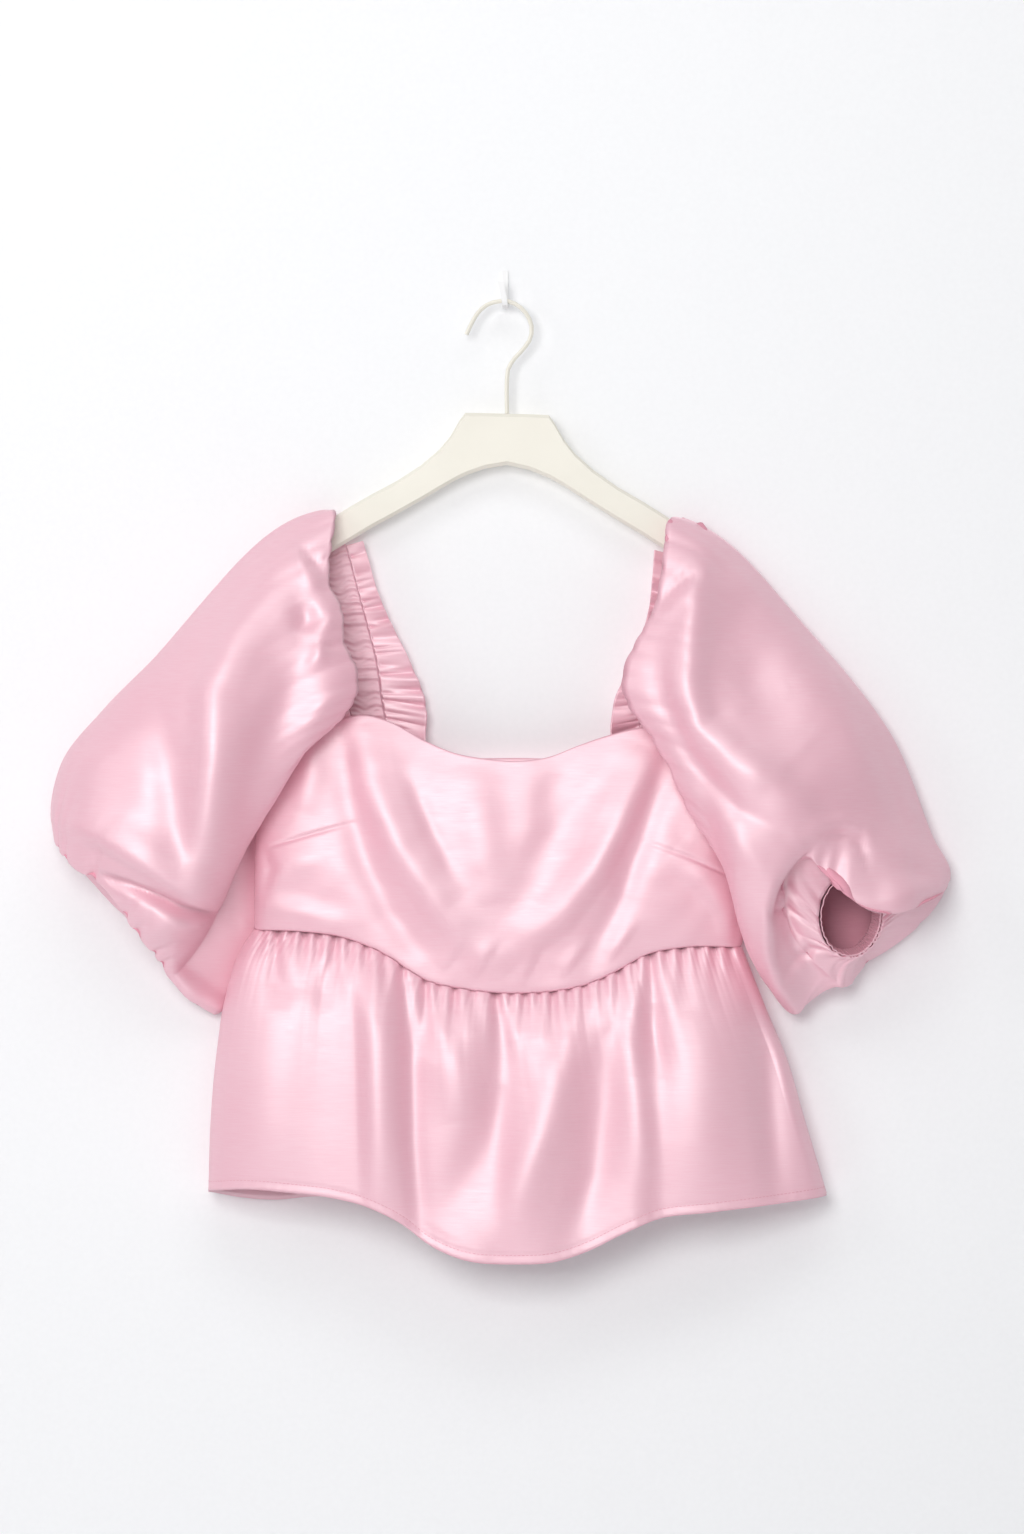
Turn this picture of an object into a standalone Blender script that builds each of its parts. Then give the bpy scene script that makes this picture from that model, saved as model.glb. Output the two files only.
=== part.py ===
"""Peplum top in satin on a flat hanger, which hangs by its wire from a small wall hook.

Metres, +Z up. The origin is on the flat back of the wall hook. The wall is the plane y = 0 and the
garment faces -Y. Left and right are the viewer's. The tables are in millimetres.
"""

import math

import bmesh
import bpy
import numpy as np
from mathutils import Vector

MM = 0.001

# Cloth and seams
CLOTH = 1.5
BAND = 2.5
SEAM_GAP = 0.3

# Body of the top: where its side seams lie, and how square its flattened rings are
SIDE_Y = -21.0
BACK_Y = -9.6
ROUNDNESS = 2.6

# Columns across each piece
BODICE_FRONT_COLUMNS = 33
BODICE_BACK_COLUMNS = 22
PEPLUM_FRONT_COLUMNS = 66
PEPLUM_BACK_COLUMNS = 44
FRONT_COLUMNS = 22
UNDER_COLUMNS = 4
BACK_COLUMNS = 14
RING_COLUMNS = FRONT_COLUMNS + UNDER_COLUMNS + BACK_COLUMNS

# Bodice by height
BODICE_ROWS = (
    ("z", "left edge", "right edge", "front"),
    (-375.0, -221.0, 213.0, -43.0),
    (-420.0, -222.0, 214.0, -50.0),
    (-470.0, -222.5, 214.0, -57.0),
    (-520.0, -223.0, 213.5, -60.0),
    (-560.0, -223.5, 211.5, -58.0),
    (-584.0, -223.5, 207.7, -56.0),
    (-630.0, -223.5, 207.7, -54.0),
)

# Top edge of the front: armholes, strap corners and the dipped neckline
FRONT_TOP = (
    ("x", "z"),
    (-223.0, -462.0),
    (-202.0, -434.0),
    (-175.0, -403.0),
    (-150.0, -385.0),
    (-128.0, -379.5),
    (-104.0, -385.0),
    (-72.0, -402.0),
    (-47.0, -412.5),
    (-18.0, -418.0),
    (10.0, -419.8),
    (37.0, -416.0),
    (62.0, -406.5),
    (90.0, -397.0),
    (130.0, -390.0),
    (152.0, -394.0),
    (176.0, -410.0),
    (198.0, -438.0),
    (214.5, -467.0),
)

# Top edge of the back, drawn up by its elastic
BACK_TOP = (
    ("x", "z"),
    (-223.0, -462.0),
    (-200.0, -438.0),
    (-165.0, -413.0),
    (-137.0, -401.0),
    (-104.0, -401.0),
    (-80.0, -409.0),
    (-48.0, -415.5),
    (10.0, -417.0),
    (62.0, -416.0),
    (90.0, -409.0),
    (112.0, -401.0),
    (146.0, -401.0),
    (176.0, -414.0),
    (198.0, -440.0),
    (214.5, -467.0),
)

FRONT_WAIST = (
    ("x", "z"),
    (-223.5, -568.5),
    (-180.0, -570.0),
    (-148.0, -574.0),
    (-112.0, -587.5),
    (-69.0, -613.5),
    (-37.0, -620.5),
    (3.0, -624.0),
    (42.0, -622.0),
    (71.0, -616.0),
    (99.0, -603.0),
    (122.0, -590.5),
    (154.0, -584.0),
    (207.7, -584.0),
)

BACK_WAIST = (
    ("x", "z"),
    (-223.5, -568.5),
    (-120.0, -578.0),
    (0.0, -600.0),
    (120.0, -588.0),
    (207.7, -584.0),
)

# Peplum by share of its length
PEPLUM_ROWS = (
    ("share", "left edge", "right edge", "front"),
    (0.0, -223.5, 207.7, -56.0),
    (0.08, -235.5, 214.5, -64.0),
    (0.25, -248.5, 229.0, -71.0),
    (0.45, -256.0, 247.0, -75.0),
    (0.7, -261.5, 263.0, -78.0),
    (1.0, -264.0, 282.5, -80.0),
)

FRONT_HEM = (
    ("x", "z"),
    (-264.0, -799.0),
    (-234.0, -796.0),
    (-184.0, -799.0),
    (-151.0, -803.0),
    (-120.0, -811.0),
    (-91.0, -826.0),
    (-69.0, -843.0),
    (-47.0, -853.5),
    (13.0, -860.0),
    (42.0, -858.0),
    (71.0, -849.0),
    (103.0, -833.0),
    (129.0, -822.0),
    (179.0, -815.0),
    (232.0, -809.5),
    (282.5, -803.5),
)

BACK_HEM = (
    ("x", "z"),
    (-264.0, -801.0),
    (-235.0, -806.5),
    (-205.0, -808.5),
    (-175.0, -806.0),
    (-100.0, -812.0),
    (0.0, -835.0),
    (100.0, -818.0),
    (200.0, -804.0),
    (282.5, -802.0),
)

# Large folds of the front peplum. Forward is towards the viewer
PEPLUM_FOLDS = (
    ("waist x", "hem x", "width", "forward", "starts at share"),
    (-190.0, -225.0, 26.0, 5.0, 0.0),
    (-112.0, -118.0, 22.0, 7.0, 0.0),
    (-82.0, -78.0, 14.0, -8.0, 0.0),
    (-44.0, -40.0, 18.0, 3.0, 0.05),
    (-6.0, -8.0, 10.0, -5.0, 0.0),
    (20.0, 22.0, 18.0, 6.0, 0.05),
    (66.0, 74.0, 14.0, -6.0, 0.1),
    (104.0, 114.0, 11.0, 6.0, 0.1),
    (124.0, 134.0, 10.0, -6.0, 0.0),
    (160.0, 188.0, 26.0, 5.0, 0.1),
    (200.0, 250.0, 14.0, -5.0, 0.2),
)

# Large folds of the back peplum, pressed flat by the wall
BACK_FOLDS = (
    ("waist x", "hem x", "width", "forward", "starts at share"),
    (-150.0, -180.0, 24.0, 3.0, 0.0),
    (-60.0, -70.0, 20.0, -3.0, 0.1),
    (40.0, 50.0, 22.0, 3.0, 0.0),
    (140.0, 170.0, 24.0, -3.0, 0.1),
)

GATHER_DEPTH = 1.7
GATHER_REACH = 0.3

# Hanger: half of its profile, then its tilt and thickness
HANGER_ROWS = (
    ("from the middle", "top", "bottom"),
    (0.0, -112.4, -157.5),
    (20.0, -112.4, -161.5),
    (37.0, -112.6, -168.0),
    (42.0, -119.5, -170.5),
    (50.0, -133.5, -175.0),
    (60.0, -146.0, -181.0),
    (76.0, -160.0, -191.0),
    (98.0, -174.8, -204.0),
    (120.0, -187.0, -216.5),
    (140.0, -199.0, -229.0),
    (160.0, -212.0, -241.5),
    (180.0, -226.0, -254.0),
    (192.0, -237.0, -258.0),
)
HANGER_TILT = math.radians(1.5)
HANGER_Y = -20.0
HANGER_THICKNESS = 12.0
HANGER_EDGE = 3.0

# Wire of the hanger
WIRE = 3.8
WIRE_RUNS = 26
WIRE_POINTS = (
    ("x", "z"),
    (-36.0, -42.2),
    (-31.0, -31.5),
    (-25.5, -22.5),
    (-17.5, -15.7),
    (-8.0, -12.8),
    (1.0, -12.7),
    (10.6, -17.2),
    (18.5, -26.0),
    (22.0, -37.0),
    (19.8, -47.5),
    (13.2, -56.3),
    (5.3, -65.1),
    (0.9, -73.0),
    (0.0, -82.0),
)

# Wall hook: centre line of its strip
HOOK_WIDTH = 5.0
HOOK_STRIP = 2.4
HOOK_PATH = (
    ("x", "y", "z"),
    (-1.5, -1.2, 16.0),
    (-1.5, -1.2, -13.5),
    (-1.5, -2.6, -16.0),
    (-1.5, -5.0, -16.6),
    (-1.5, -21.0, -16.6),
    (-1.9, -23.4, -15.6),
    (-2.2, -24.0, -13.0),
    (-5.5, -24.0, 4.4),
)

# Straps of elastic, 30 wide, from the front corner over the hanger to the back
STRAP_WIDTH = 30.0
STRAP_ROWS = {
    "left": (
        ("middle x", "y", "z", "slope"),
        (-150.0, -41.0, -391.0, 0.0),
        (-155.0, -43.0, -372.0, 0.0),
        (-163.0, -45.0, -340.0, 0.0),
        (-171.0, -44.0, -300.0, 0.1),
        (-174.0, -39.5, -262.0, 0.3),
        (-171.0, -33.0, -234.0, 0.55),
    ),
    "right": (
        ("middle x", "y", "z", "slope"),
        (144.0, -42.0, -401.0, 0.0),
        (147.0, -43.5, -380.0, 0.0),
        (156.0, -45.0, -345.0, 0.0),
        (163.0, -44.0, -304.0, 0.1),
        (166.0, -39.5, -268.0, 0.3),
        (165.0, -33.0, -240.0, 0.55),
    ),
}
STRAP_BACK_ROWS = {
    "left": (
        ("middle x", "y", "z", "slope"),
        (-157.0, -10.6, -234.0, 0.4),
        (-149.5, -10.4, -262.0, 0.15),
        (-139.0, -10.4, -300.0, 0.0),
        (-131.0, -10.4, -332.0, 0.0),
        (-126.5, -10.4, -364.0, 0.0),
        (-120.5, -10.4, -398.6, 0.0),
    ),
    "right": (
        ("middle x", "y", "z", "slope"),
        (160.0, -10.6, -242.0, 0.4),
        (159.0, -10.4, -270.0, 0.15),
        (157.0, -10.4, -302.0, 0.0),
        (152.0, -10.4, -332.0, 0.0),
        (142.0, -10.4, -364.0, 0.0),
        (129.0, -10.4, -398.6, 0.0),
    ),
}
# Where a strap lies on the hanger arm. The lift is above the top of the arm
STRAP_OVER = (
    ("from the middle", "y", "lift", "slope"),
    (168.0, -29.0, -5.5, 0.665),
    (166.5, -25.4, 1.8, 0.665),
    (165.5, -20.0, 2.4, 0.665),
    (165.0, -14.4, 1.8, 0.665),
    (163.0, -11.0, -5.5, 0.665),
)
STRAP_SHIFT = {"left": 0.0, "right": 4.0}
STRAP_RUNS = 38
SHIRRING = 0.7

# Frills on the back of the straps
FRILL_ROWS = {
    "left": (
        ("share down the strap", "width", "depth of waves"),
        (0.0, 15.0, 3.0),
        (0.3, 17.0, 5.0),
        (0.6, 28.0, 6.0),
        (0.85, 40.0, 6.5),
        (1.0, 40.0, 5.0),
    ),
    "right": (
        ("share down the strap", "width", "depth of waves"),
        (0.0, 15.0, 3.0),
        (0.3, 17.0, 5.0),
        (0.6, 27.0, 6.0),
        (0.85, 32.0, 6.0),
        (1.0, 30.0, 5.0),
    ),
}
FRILL_WAVES = 9
FRILL_STEPS = 4

# Sleeves. The lip is the edge of the puff that rolls over the strap towards the neck
LIP_ROWS = {
    "left": (
        ("x", "y", "z"),
        (-162.0, -20.5, -197.5),
        (-152.0, -38.0, -199.0),
        (-154.0, -58.0, -231.0),
        (-155.5, -66.0, -262.0),
        (-144.0, -70.0, -289.0),
        (-142.0, -73.0, -317.0),
        (-132.0, -75.0, -337.0),
        (-130.5, -75.0, -358.0),
        (-143.0, -73.0, -381.0),
        (-174.0, -66.0, -408.0),
        (-200.0, -54.0, -440.0),
        (-223.0, -38.0, -466.0),
    ),
    "right": (
        ("x", "y", "z"),
        (156.0, -20.5, -204.0),
        (143.5, -38.0, -206.0),
        (137.5, -58.0, -237.0),
        (128.5, -68.0, -286.0),
        (112.0, -73.0, -317.0),
        (103.0, -76.0, -336.0),
        (100.5, -77.0, -354.0),
        (107.0, -77.0, -373.0),
        (122.5, -77.0, -394.0),
        (143.5, -76.0, -431.0),
        (160.0, -74.0, -466.0),
        (181.0, -69.0, -497.0),
        (199.0, -62.0, -524.0),
        (217.5, -44.0, -546.0),
    ),
}
# The same edge behind the shoulder, up to its top
LIP_BACK_TOP = {
    "left": (("x", "y", "z"), (-184.0, -5.6, -240.0), (-184.0, -7.0, -222.0), (-179.0, -12.0, -207.0)),
    "right": (("x", "y", "z"), (185.0, -5.6, -246.0), (183.0, -7.0, -229.0), (174.0, -12.0, -213.0)),
}
# Sections down the sleeve
SLEEVE_ROWS = {
    "left": (
        ("outer x", "outer z", "fold x", "fold z", "under x", "under z", "bow", "front", "edge", "fold y"),
        (-215.5, -219.0, -231.0, -492.0, -228.5, -500.0, 46.0, 90.0, 14.0, 28.0),
        (-262.0, -270.0, -237.0, -508.0, -227.5, -522.0, 30.0, 106.0, 15.0, 24.0),
        (-310.0, -326.0, -250.0, -540.0, -230.0, -558.0, 16.0, 112.0, 16.0, 22.0),
        (-357.0, -374.0, -268.0, -576.0, -245.0, -598.0, 6.0, 108.0, 18.0, 22.0),
        (-394.5, -422.0, -284.0, -598.0, -255.0, -625.0, 4.0, 94.0, 20.0, 25.0),
    ),
    "right": (
        ("outer x", "outer z", "fold x", "fold z", "under x", "under z", "bow", "front", "edge", "fold y"),
        (205.0, -230.5, 219.0, -554.0, 218.5, -500.0, 47.0, 92.0, 14.0, 42.0),
        (248.0, -283.0, 221.0, -570.0, 220.0, -532.0, 43.0, 106.0, 15.0, 38.0),
        (297.0, -338.0, 225.0, -592.0, 222.0, -568.0, 48.0, 114.0, 16.0, 34.0),
        (343.0, -402.0, 236.0, -618.0, 232.0, -602.0, 56.0, 114.0, 18.0, 31.0),
        (375.5, -484.0, 257.0, -643.0, 256.0, -633.0, 86.0, 104.0, 20.0, 30.0),
    ),
}
# The brim is the fold at the sleeve's end, where the puff turns in to its elastic
BRIM_FRONT = {
    "left": (
        ("x", "y", "z"),
        (-404.0, -20.0, -477.0),
        (-398.0, -42.0, -494.0),
        (-380.0, -64.0, -514.0),
        (-358.0, -71.0, -527.0),
        (-341.0, -71.0, -547.0),
        (-326.0, -66.0, -571.0),
        (-309.0, -52.0, -592.0),
        (-298.0, -33.0, -612.0),
    ),
    "right": (
        ("x", "y", "z"),
        (393.0, -20.0, -524.0),
        (380.0, -56.0, -540.0),
        (352.0, -86.0, -550.0),
        (322.0, -98.0, -554.0),
        (303.0, -100.0, -546.0),
        (287.0, -98.0, -528.0),
        (268.0, -94.0, -508.0),
        (251.0, -86.0, -508.0),
        (243.0, -77.0, -528.0),
        (243.5, -69.0, -550.0),
        (250.0, -62.0, -574.0),
        (264.0, -55.0, -592.0),
        (284.0, -46.0, -610.0),
    ),
}
BRIM_UNDER = {
    "left": (("x", "y", "z"), (-298.0, -33.0, -612.0), (-279.0, -25.0, -633.0), (-258.5, -14.0, -645.0)),
    "right": (("x", "y", "z"), (284.0, -46.0, -610.0), (295.0, -39.0, -620.0), (304.0, -28.0, -617.0)),
}
BRIM_BACK = {
    "left": (
        ("x", "y", "z"),
        (-258.5, -14.0, -645.0),
        (-264.0, -7.0, -640.0),
        (-300.0, -5.0, -602.0),
        (-345.0, -5.0, -552.0),
        (-385.0, -6.0, -508.0),
        (-400.0, -10.5, -484.0),
        (-404.0, -20.0, -477.0),
    ),
    "right": (
        ("x", "y", "z"),
        (304.0, -28.0, -617.0),
        (318.0, -14.0, -600.0),
        (344.0, -9.0, -583.0),
        (369.0, -8.0, -562.0),
        (387.0, -10.0, -538.0),
        (393.0, -20.0, -524.0),
    ),
}
# Elastic cuff inside the puff: middle of its seam, the way it runs in, where its columns start, its half
# sizes along and across that, and the columns at each quarter turn
CUFFS = {
    "left": {
        "middle": (-326.0, -37.0, -545.0),
        "way": (0.756, 0.0, 0.653),
        "first": (-0.653, 0.0, 0.756),
        "halves": (39.0, 21.0),
        "quarters": (0, 10, 20, 30, 40),
    },
    "right": {
        "middle": (302.0, -62.0, -556.0),
        "way": (-0.2, 0.97, 0.1),
        "first": (1.0, 0.2, 0.0),
        "halves": (26.0, 34.0),
        "quarters": (0, 7, 12, 21, 40),
    },
}
CUFF_LENGTH = 22.0
CUFF_RUNS = 32
SLEEVE_BACK_Y = -4.2
UNDER_Y = -10.5
SLEEVE_GATHER = 1.1
SEAM_LIFT = 4.0
BRIM_ROLL = 1.3
BRIM_LEAN = {"left": 0.0, "right": 0.137}

# Colours, roughness and metal of each material
SATIN = ("satin", (0.88, 0.55, 0.63), 0.32, 0.0)
ELASTIC = ("shirred_satin", (0.80, 0.45, 0.54), 0.45, 0.0)
CREAM = ("cream_hanger", (0.84, 0.82, 0.74), 0.5, 0.0)
CREAM_WIRE = ("cream_wire", (0.80, 0.79, 0.73), 0.35, 0.6)
WHITE = ("white_hook", (0.90, 0.90, 0.89), 0.4, 0.0)


def clear_scene():
    for obj in list(bpy.data.objects):
        bpy.data.objects.remove(obj, do_unlink=True)


def table(rows):
    """The numbers of a table, without the row that names its columns."""
    return np.array([row for row in rows if not isinstance(row[0], str)], float)


def smooth(knots, values, at):
    """Cubic through the values at the knots."""
    knots = np.asarray(knots, float)
    values = np.asarray(values, float)
    at = np.clip(np.asarray(at, float), knots[0], knots[-1])
    slopes = np.gradient(values, knots, axis=0)
    index = np.clip(np.searchsorted(knots, at, side="right") - 1, 0, len(knots) - 2)
    step = knots[index + 1] - knots[index]
    share = (at - knots[index]) / step
    if values.ndim > 1:
        share = share[..., None]
        step = step[..., None]
    square = share * share
    cube = square * share
    return (
        (2 * cube - 3 * square + 1) * values[index]
        + (cube - 2 * square + share) * step * slopes[index]
        + (3 * square - 2 * cube) * values[index + 1]
        + (cube - square) * step * slopes[index + 1]
    )


def through(points, shares):
    """Smooth curve through the points, read at shares of its length."""
    points = np.asarray(points, float)
    steps = np.linalg.norm(np.diff(points, axis=0), axis=1)
    knots = np.concatenate([[0.0], np.cumsum(steps)]) / steps.sum()
    return smooth(knots, points, shares)


def grid_normals(grid, closed):
    """Unit normals of a grid of points, whose columns may run round."""
    down = np.gradient(grid, axis=0)
    if closed:
        across = np.roll(grid, -1, axis=1) - np.roll(grid, 1, axis=1)
    else:
        across = np.gradient(grid, axis=1)
    normals = np.cross(across, down)
    return normals / np.linalg.norm(normals, axis=2, keepdims=True)


def add_material(obj, finish):
    name, colour, roughness, metallic = finish
    material = bpy.data.materials.get(name) or bpy.data.materials.new(name)
    material.use_nodes = True
    shader = material.node_tree.nodes["Principled BSDF"]
    shader.inputs["Base Color"].default_value = (*colour, 1.0)
    shader.inputs["Roughness"].default_value = roughness
    shader.inputs["Metallic"].default_value = metallic
    obj.data.materials.append(material)


def add_mesh(name, points, faces, finish):
    mesh = bpy.data.meshes.new(name)
    mesh.from_pydata([tuple(point) for point in np.asarray(points) * MM], [], faces)
    shape = bmesh.new()
    shape.from_mesh(mesh)
    bmesh.ops.triangulate(shape, faces=shape.faces[:])
    bmesh.ops.recalc_face_normals(shape, faces=shape.faces[:])
    if shape.calc_volume(signed=True) < 0:
        bmesh.ops.reverse_faces(shape, faces=shape.faces[:])
    shape.to_mesh(mesh)
    shape.free()
    mesh.shade_smooth()
    mesh.set_sharp_from_angle(angle=math.radians(50))
    obj = bpy.data.objects.new(name, mesh)
    bpy.context.scene.collection.objects.link(obj)
    add_material(obj, finish)
    return obj


def add_wall(name, grid, thickness, finish, closed=False, outer_relief=0.0, side_seams=False):
    """Cloth of even thickness about a grid of points. Relief is raised on its outer face alone."""
    rows, columns = grid.shape[:2]
    normals = grid_normals(grid, closed)
    if side_seams:
        # At a side seam the cloth runs straight back, so that its edge meets the other half flat.
        normals[:, (0, -1)] = np.sign(normals[:, (0, -1)]) * np.array([1.0, 0.0, 0.0])
        # Along the waist seam the two edges stand level with each other.
        for row in (0, -1):
            normals[row, :, 2] = 0.0
            normals[row] /= np.linalg.norm(normals[row], axis=1, keepdims=True)
    raised = thickness / 2 + np.broadcast_to(outer_relief, (rows, columns))[..., None]
    outer = (grid + normals * raised).reshape(-1, 3)
    inner = (grid - normals * thickness / 2).reshape(-1, 3)
    layer = rows * columns
    faces = []
    spans = columns if closed else columns - 1
    for row in range(rows - 1):
        for column in range(spans):
            after = (column + 1) % columns
            a = row * columns + column
            b = row * columns + after
            c = (row + 1) * columns + after
            d = (row + 1) * columns + column
            faces.append((a, b, c, d))
            faces.append((layer + d, layer + c, layer + b, layer + a))
    for row in (0, rows - 1):
        for column in range(spans):
            a = row * columns + column
            b = row * columns + (column + 1) % columns
            faces.append((a, b, layer + b, layer + a))
    if not closed:
        for column in (0, columns - 1):
            for row in range(rows - 1):
                a = row * columns + column
                b = (row + 1) * columns + column
                faces.append((a, b, layer + b, layer + a))
    return add_mesh(name, np.vstack([outer, inner]), faces, finish)


def places_across(columns):
    """Places from side seam to side seam, -1 to 1, closer together near the seams."""
    angle = np.linspace(-math.pi / 2, math.pi / 2, columns + 1)
    return 0.55 * np.sin(angle) + 0.45 * angle / (math.pi / 2)


def bulge(place):
    """How far a flattened half ring stands out at a place from -1 to 1."""
    return np.maximum(1 - np.abs(place) ** ROUNDNESS, 0.0) ** (1 / ROUNDNESS)


def edge_height(edge, x):
    rows = table(edge)
    return smooth(rows[:, 0], rows[:, 1], x)


def edge_beyond(edge, x, distance):
    """Height of a line that runs so far outside an edge."""
    slope = (edge_height(edge, x + 1.0) - edge_height(edge, x - 1.0)) / 2.0
    return edge_height(edge, x) + distance * np.sqrt(1 + slope**2)


def bodice_levels(z):
    rows = table(BODICE_ROWS)[::-1]
    return smooth(rows[:, 0], rows[:, 1:], z)


def bodice_y(x, z, front):
    """Where the middle of the bodice's cloth lies at an x and z."""
    left, right, front_y = bodice_levels(np.asarray(z, float)).T
    place = np.clip((x - (left + right) / 2) / ((right - left) / 2), -1, 1)
    far = front_y if front else BACK_Y
    return SIDE_Y + (far - SIDE_Y) * bulge(place)


def half_ring(place, left, right, far, seam):
    """x and y round one half of a flattened ring. Its ends stop short of the side seams."""
    x = (left + right) / 2 + (right - left) / 2 * place
    start = SIDE_Y + seam * np.sign(far - SIDE_Y)
    return x, start + (far - start) * bulge(place)


def bodice_grid(top, waist, front, columns, rows):
    place = places_across(columns)
    grid = []
    for share in np.linspace(0, 1, rows + 1):
        # The two edges are read where this column meets them.
        guess = place * 218 - 4
        for _ in range(3):
            low = edge_height(waist, guess)
            high = edge_height(top, guess)
            z = low + (high - low) * share
            left, right, front_y = bodice_levels(z).T
            far = front_y if front else np.full_like(z, BACK_Y)
            guess, y = half_ring(place, left, right, far, SEAM_GAP / 2)
        grid.append(np.stack([guess, y, z], axis=1))
    return np.array(grid)


def fold_relief(folds, x_share, share, left, right):
    """Forward movement from the large folds, which grow towards the hem."""
    total = np.zeros_like(x_share)
    for waist_x, hem_x, width, forward, start in table(folds):
        middle = waist_x + (hem_x - waist_x) * share
        grown = np.clip((share - start) / 0.25, 0, 1)
        x = (left + right) / 2 + (right - left) / 2 * x_share
        spread = width * (1 + 0.5 * share)
        total += forward * grown * np.exp(-(((x - middle) / spread) ** 2))
    return total


def peplum_grid(waist, hem, front, columns, rows, folds):
    place = places_across(columns)
    shares = np.linspace(0, 1, rows + 1) ** 1.25
    sizes = table(PEPLUM_ROWS)
    gather = GATHER_DEPTH * np.where(np.arange(columns + 1) % 2 == 0, 1.0, -1.0)
    inset = np.clip((1 - np.abs(place)) / 0.06, 0, 1)
    grid = []
    for share in shares:
        left, right, front_y = smooth(sizes[:, 0], sizes[:, 1:], share)
        far = front_y if front else BACK_Y + 2.0 * share
        x, y = half_ring(place, left, right, far, SEAM_GAP / 2)
        top_x = (sizes[0, 1] + sizes[0, 2]) / 2 + (sizes[0, 2] - sizes[0, 1]) / 2 * place
        hem_x = (sizes[-1, 1] + sizes[-1, 2]) / 2 + (sizes[-1, 2] - sizes[-1, 1]) / 2 * place
        # The seam keeps the straight runs of the bodice's wider columns.
        top = np.interp(top_x, top_x[::2], edge_height(waist, top_x[::2])) - SEAM_GAP - 0.2
        bottom = edge_height(hem, hem_x)
        fade = (1 - np.clip(share / GATHER_REACH, 0, 1)) ** 1.5
        forward = gather * fade * inset
        forward = forward + fold_relief(folds, place, share, left, right) * inset
        grid.append(np.stack([x, y - forward, top + (bottom - top) * share], axis=1))
    return np.array(grid)


def build_body():
    front = bodice_grid(FRONT_TOP, FRONT_WAIST, True, BODICE_FRONT_COLUMNS, 8)
    add_wall("front_bodice", front, CLOTH, SATIN, side_seams=True)
    back = bodice_grid(BACK_TOP, BACK_WAIST, False, BODICE_BACK_COLUMNS, 6)
    ridge = np.where(np.arange(back.shape[1]) % 2 == 0, SHIRRING, 0.0)
    relief = np.linspace(-1, 1, back.shape[0])[:, None].clip(0) * ridge[None, :]
    back = back[:, ::-1]
    add_wall("back_bodice", back, CLOTH, SATIN, outer_relief=relief, side_seams=True)
    front = peplum_grid(FRONT_WAIST, FRONT_HEM, True, PEPLUM_FRONT_COLUMNS, 8, PEPLUM_FOLDS)
    add_wall("front_peplum", front, CLOTH, SATIN, side_seams=True)
    back = peplum_grid(BACK_WAIST, BACK_HEM, False, PEPLUM_BACK_COLUMNS, 6, BACK_FOLDS)
    add_wall("back_peplum", back, CLOTH, SATIN, side_seams=True)


def hanger_height(x, column):
    """Top or bottom of the tilted hanger at an x."""
    rows = table(HANGER_ROWS)
    level = np.interp(abs(x), rows[:, 0], rows[:, column])
    return level - x * math.tan(HANGER_TILT)


def strap_rows(side):
    """Middle line of a strap as x, y, z and slope, from the front corner to the back."""
    sign = -1 if side == "left" else 1
    over = []
    for distance, y, lift, slope in table(STRAP_OVER):
        x = sign * (distance - STRAP_SHIFT[side])
        height = hanger_height(x, 1) + SEAM_GAP + BAND / 2 + lift
        over.append((x, y, height, slope + sign * math.tan(HANGER_TILT)))
    return np.vstack([table(STRAP_ROWS[side]), over, table(STRAP_BACK_ROWS[side])])


def strap_edges(side, shares):
    """Neck edge and sleeve edge of a strap at shares of its length."""
    sign = -1 if side == "left" else 1
    rows = strap_rows(side)
    steps = np.linalg.norm(np.diff(rows[:, :3], axis=0), axis=1)
    knots = np.concatenate([[0.0], np.cumsum(steps)]) / steps.sum()
    line = smooth(knots, rows, shares)
    slope = line[:, 3]
    length = np.sqrt(1 + slope**2)
    reach = np.stack([sign / length, np.zeros_like(slope), -slope / length], axis=1)
    half = reach * STRAP_WIDTH / 2
    neck = line[:, :3] - half
    sleeve = line[:, :3] + half
    for edge in (neck, sleeve):
        # The front end is tucked behind the bodice.
        tucked = np.clip((knots[2] - shares) / knots[2], 0, 1)
        behind = bodice_y(edge[:, 0], edge[:, 2], True) + CLOTH / 2 + BAND / 2 + 1.2
        mix = np.clip(tucked * 2.2, 0, 1)
        edge[:, 1] = np.where(tucked > 0, edge[:, 1] * (1 - mix) + behind * mix, edge[:, 1])
    return neck, sleeve, knots


def build_strap(side):
    shares = np.linspace(0, 1, STRAP_RUNS + 1)
    neck, sleeve, _ = strap_edges(side, shares)
    grid = np.array([neck + (sleeve - neck) * share for share in (0, 1 / 3, 2 / 3, 1)])
    if side == "right":
        grid = grid[::-1]
    ridge = np.where(np.arange(STRAP_RUNS + 1) % 2 == 0, SHIRRING, 0.0)
    relief = np.broadcast_to(ridge, grid.shape[:2])
    add_wall("strap_" + side, grid, BAND, ELASTIC, outer_relief=relief)


def build_frill(side):
    """Waved band sewn along the neck edge of the back strap."""
    sign = -1 if side == "left" else 1
    sizes = table(FRILL_ROWS[side])
    steps = np.linspace(0, 1, FRILL_WAVES * FRILL_STEPS + 1)
    _, _, knots = strap_edges(side, np.array([0.0, 1.0]))
    start = knots[-len(table(STRAP_BACK_ROWS[side]))]
    neck, _, _ = strap_edges(side, start + (0.985 - start) * steps)
    width, depth = smooth(sizes[:, 0], sizes[:, 1:], steps).T
    wave = np.sin(2 * math.pi * FRILL_WAVES * steps)
    grid = []
    for share in (0.0, 0.3, 0.65, 1.0):
        line = neck.copy()
        line[:, 0] -= sign * (SEAM_GAP + 0.1 + width * share)
        line[:, 1] -= depth * wave * share + 2.5 * share
        line[:, 2] += width * 0.25 * share
        grid.append(line)
    grid = np.array(grid)
    if side == "left":
        grid = grid[::-1]
    add_wall("frill_" + side, grid, CLOTH, SATIN)


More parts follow.
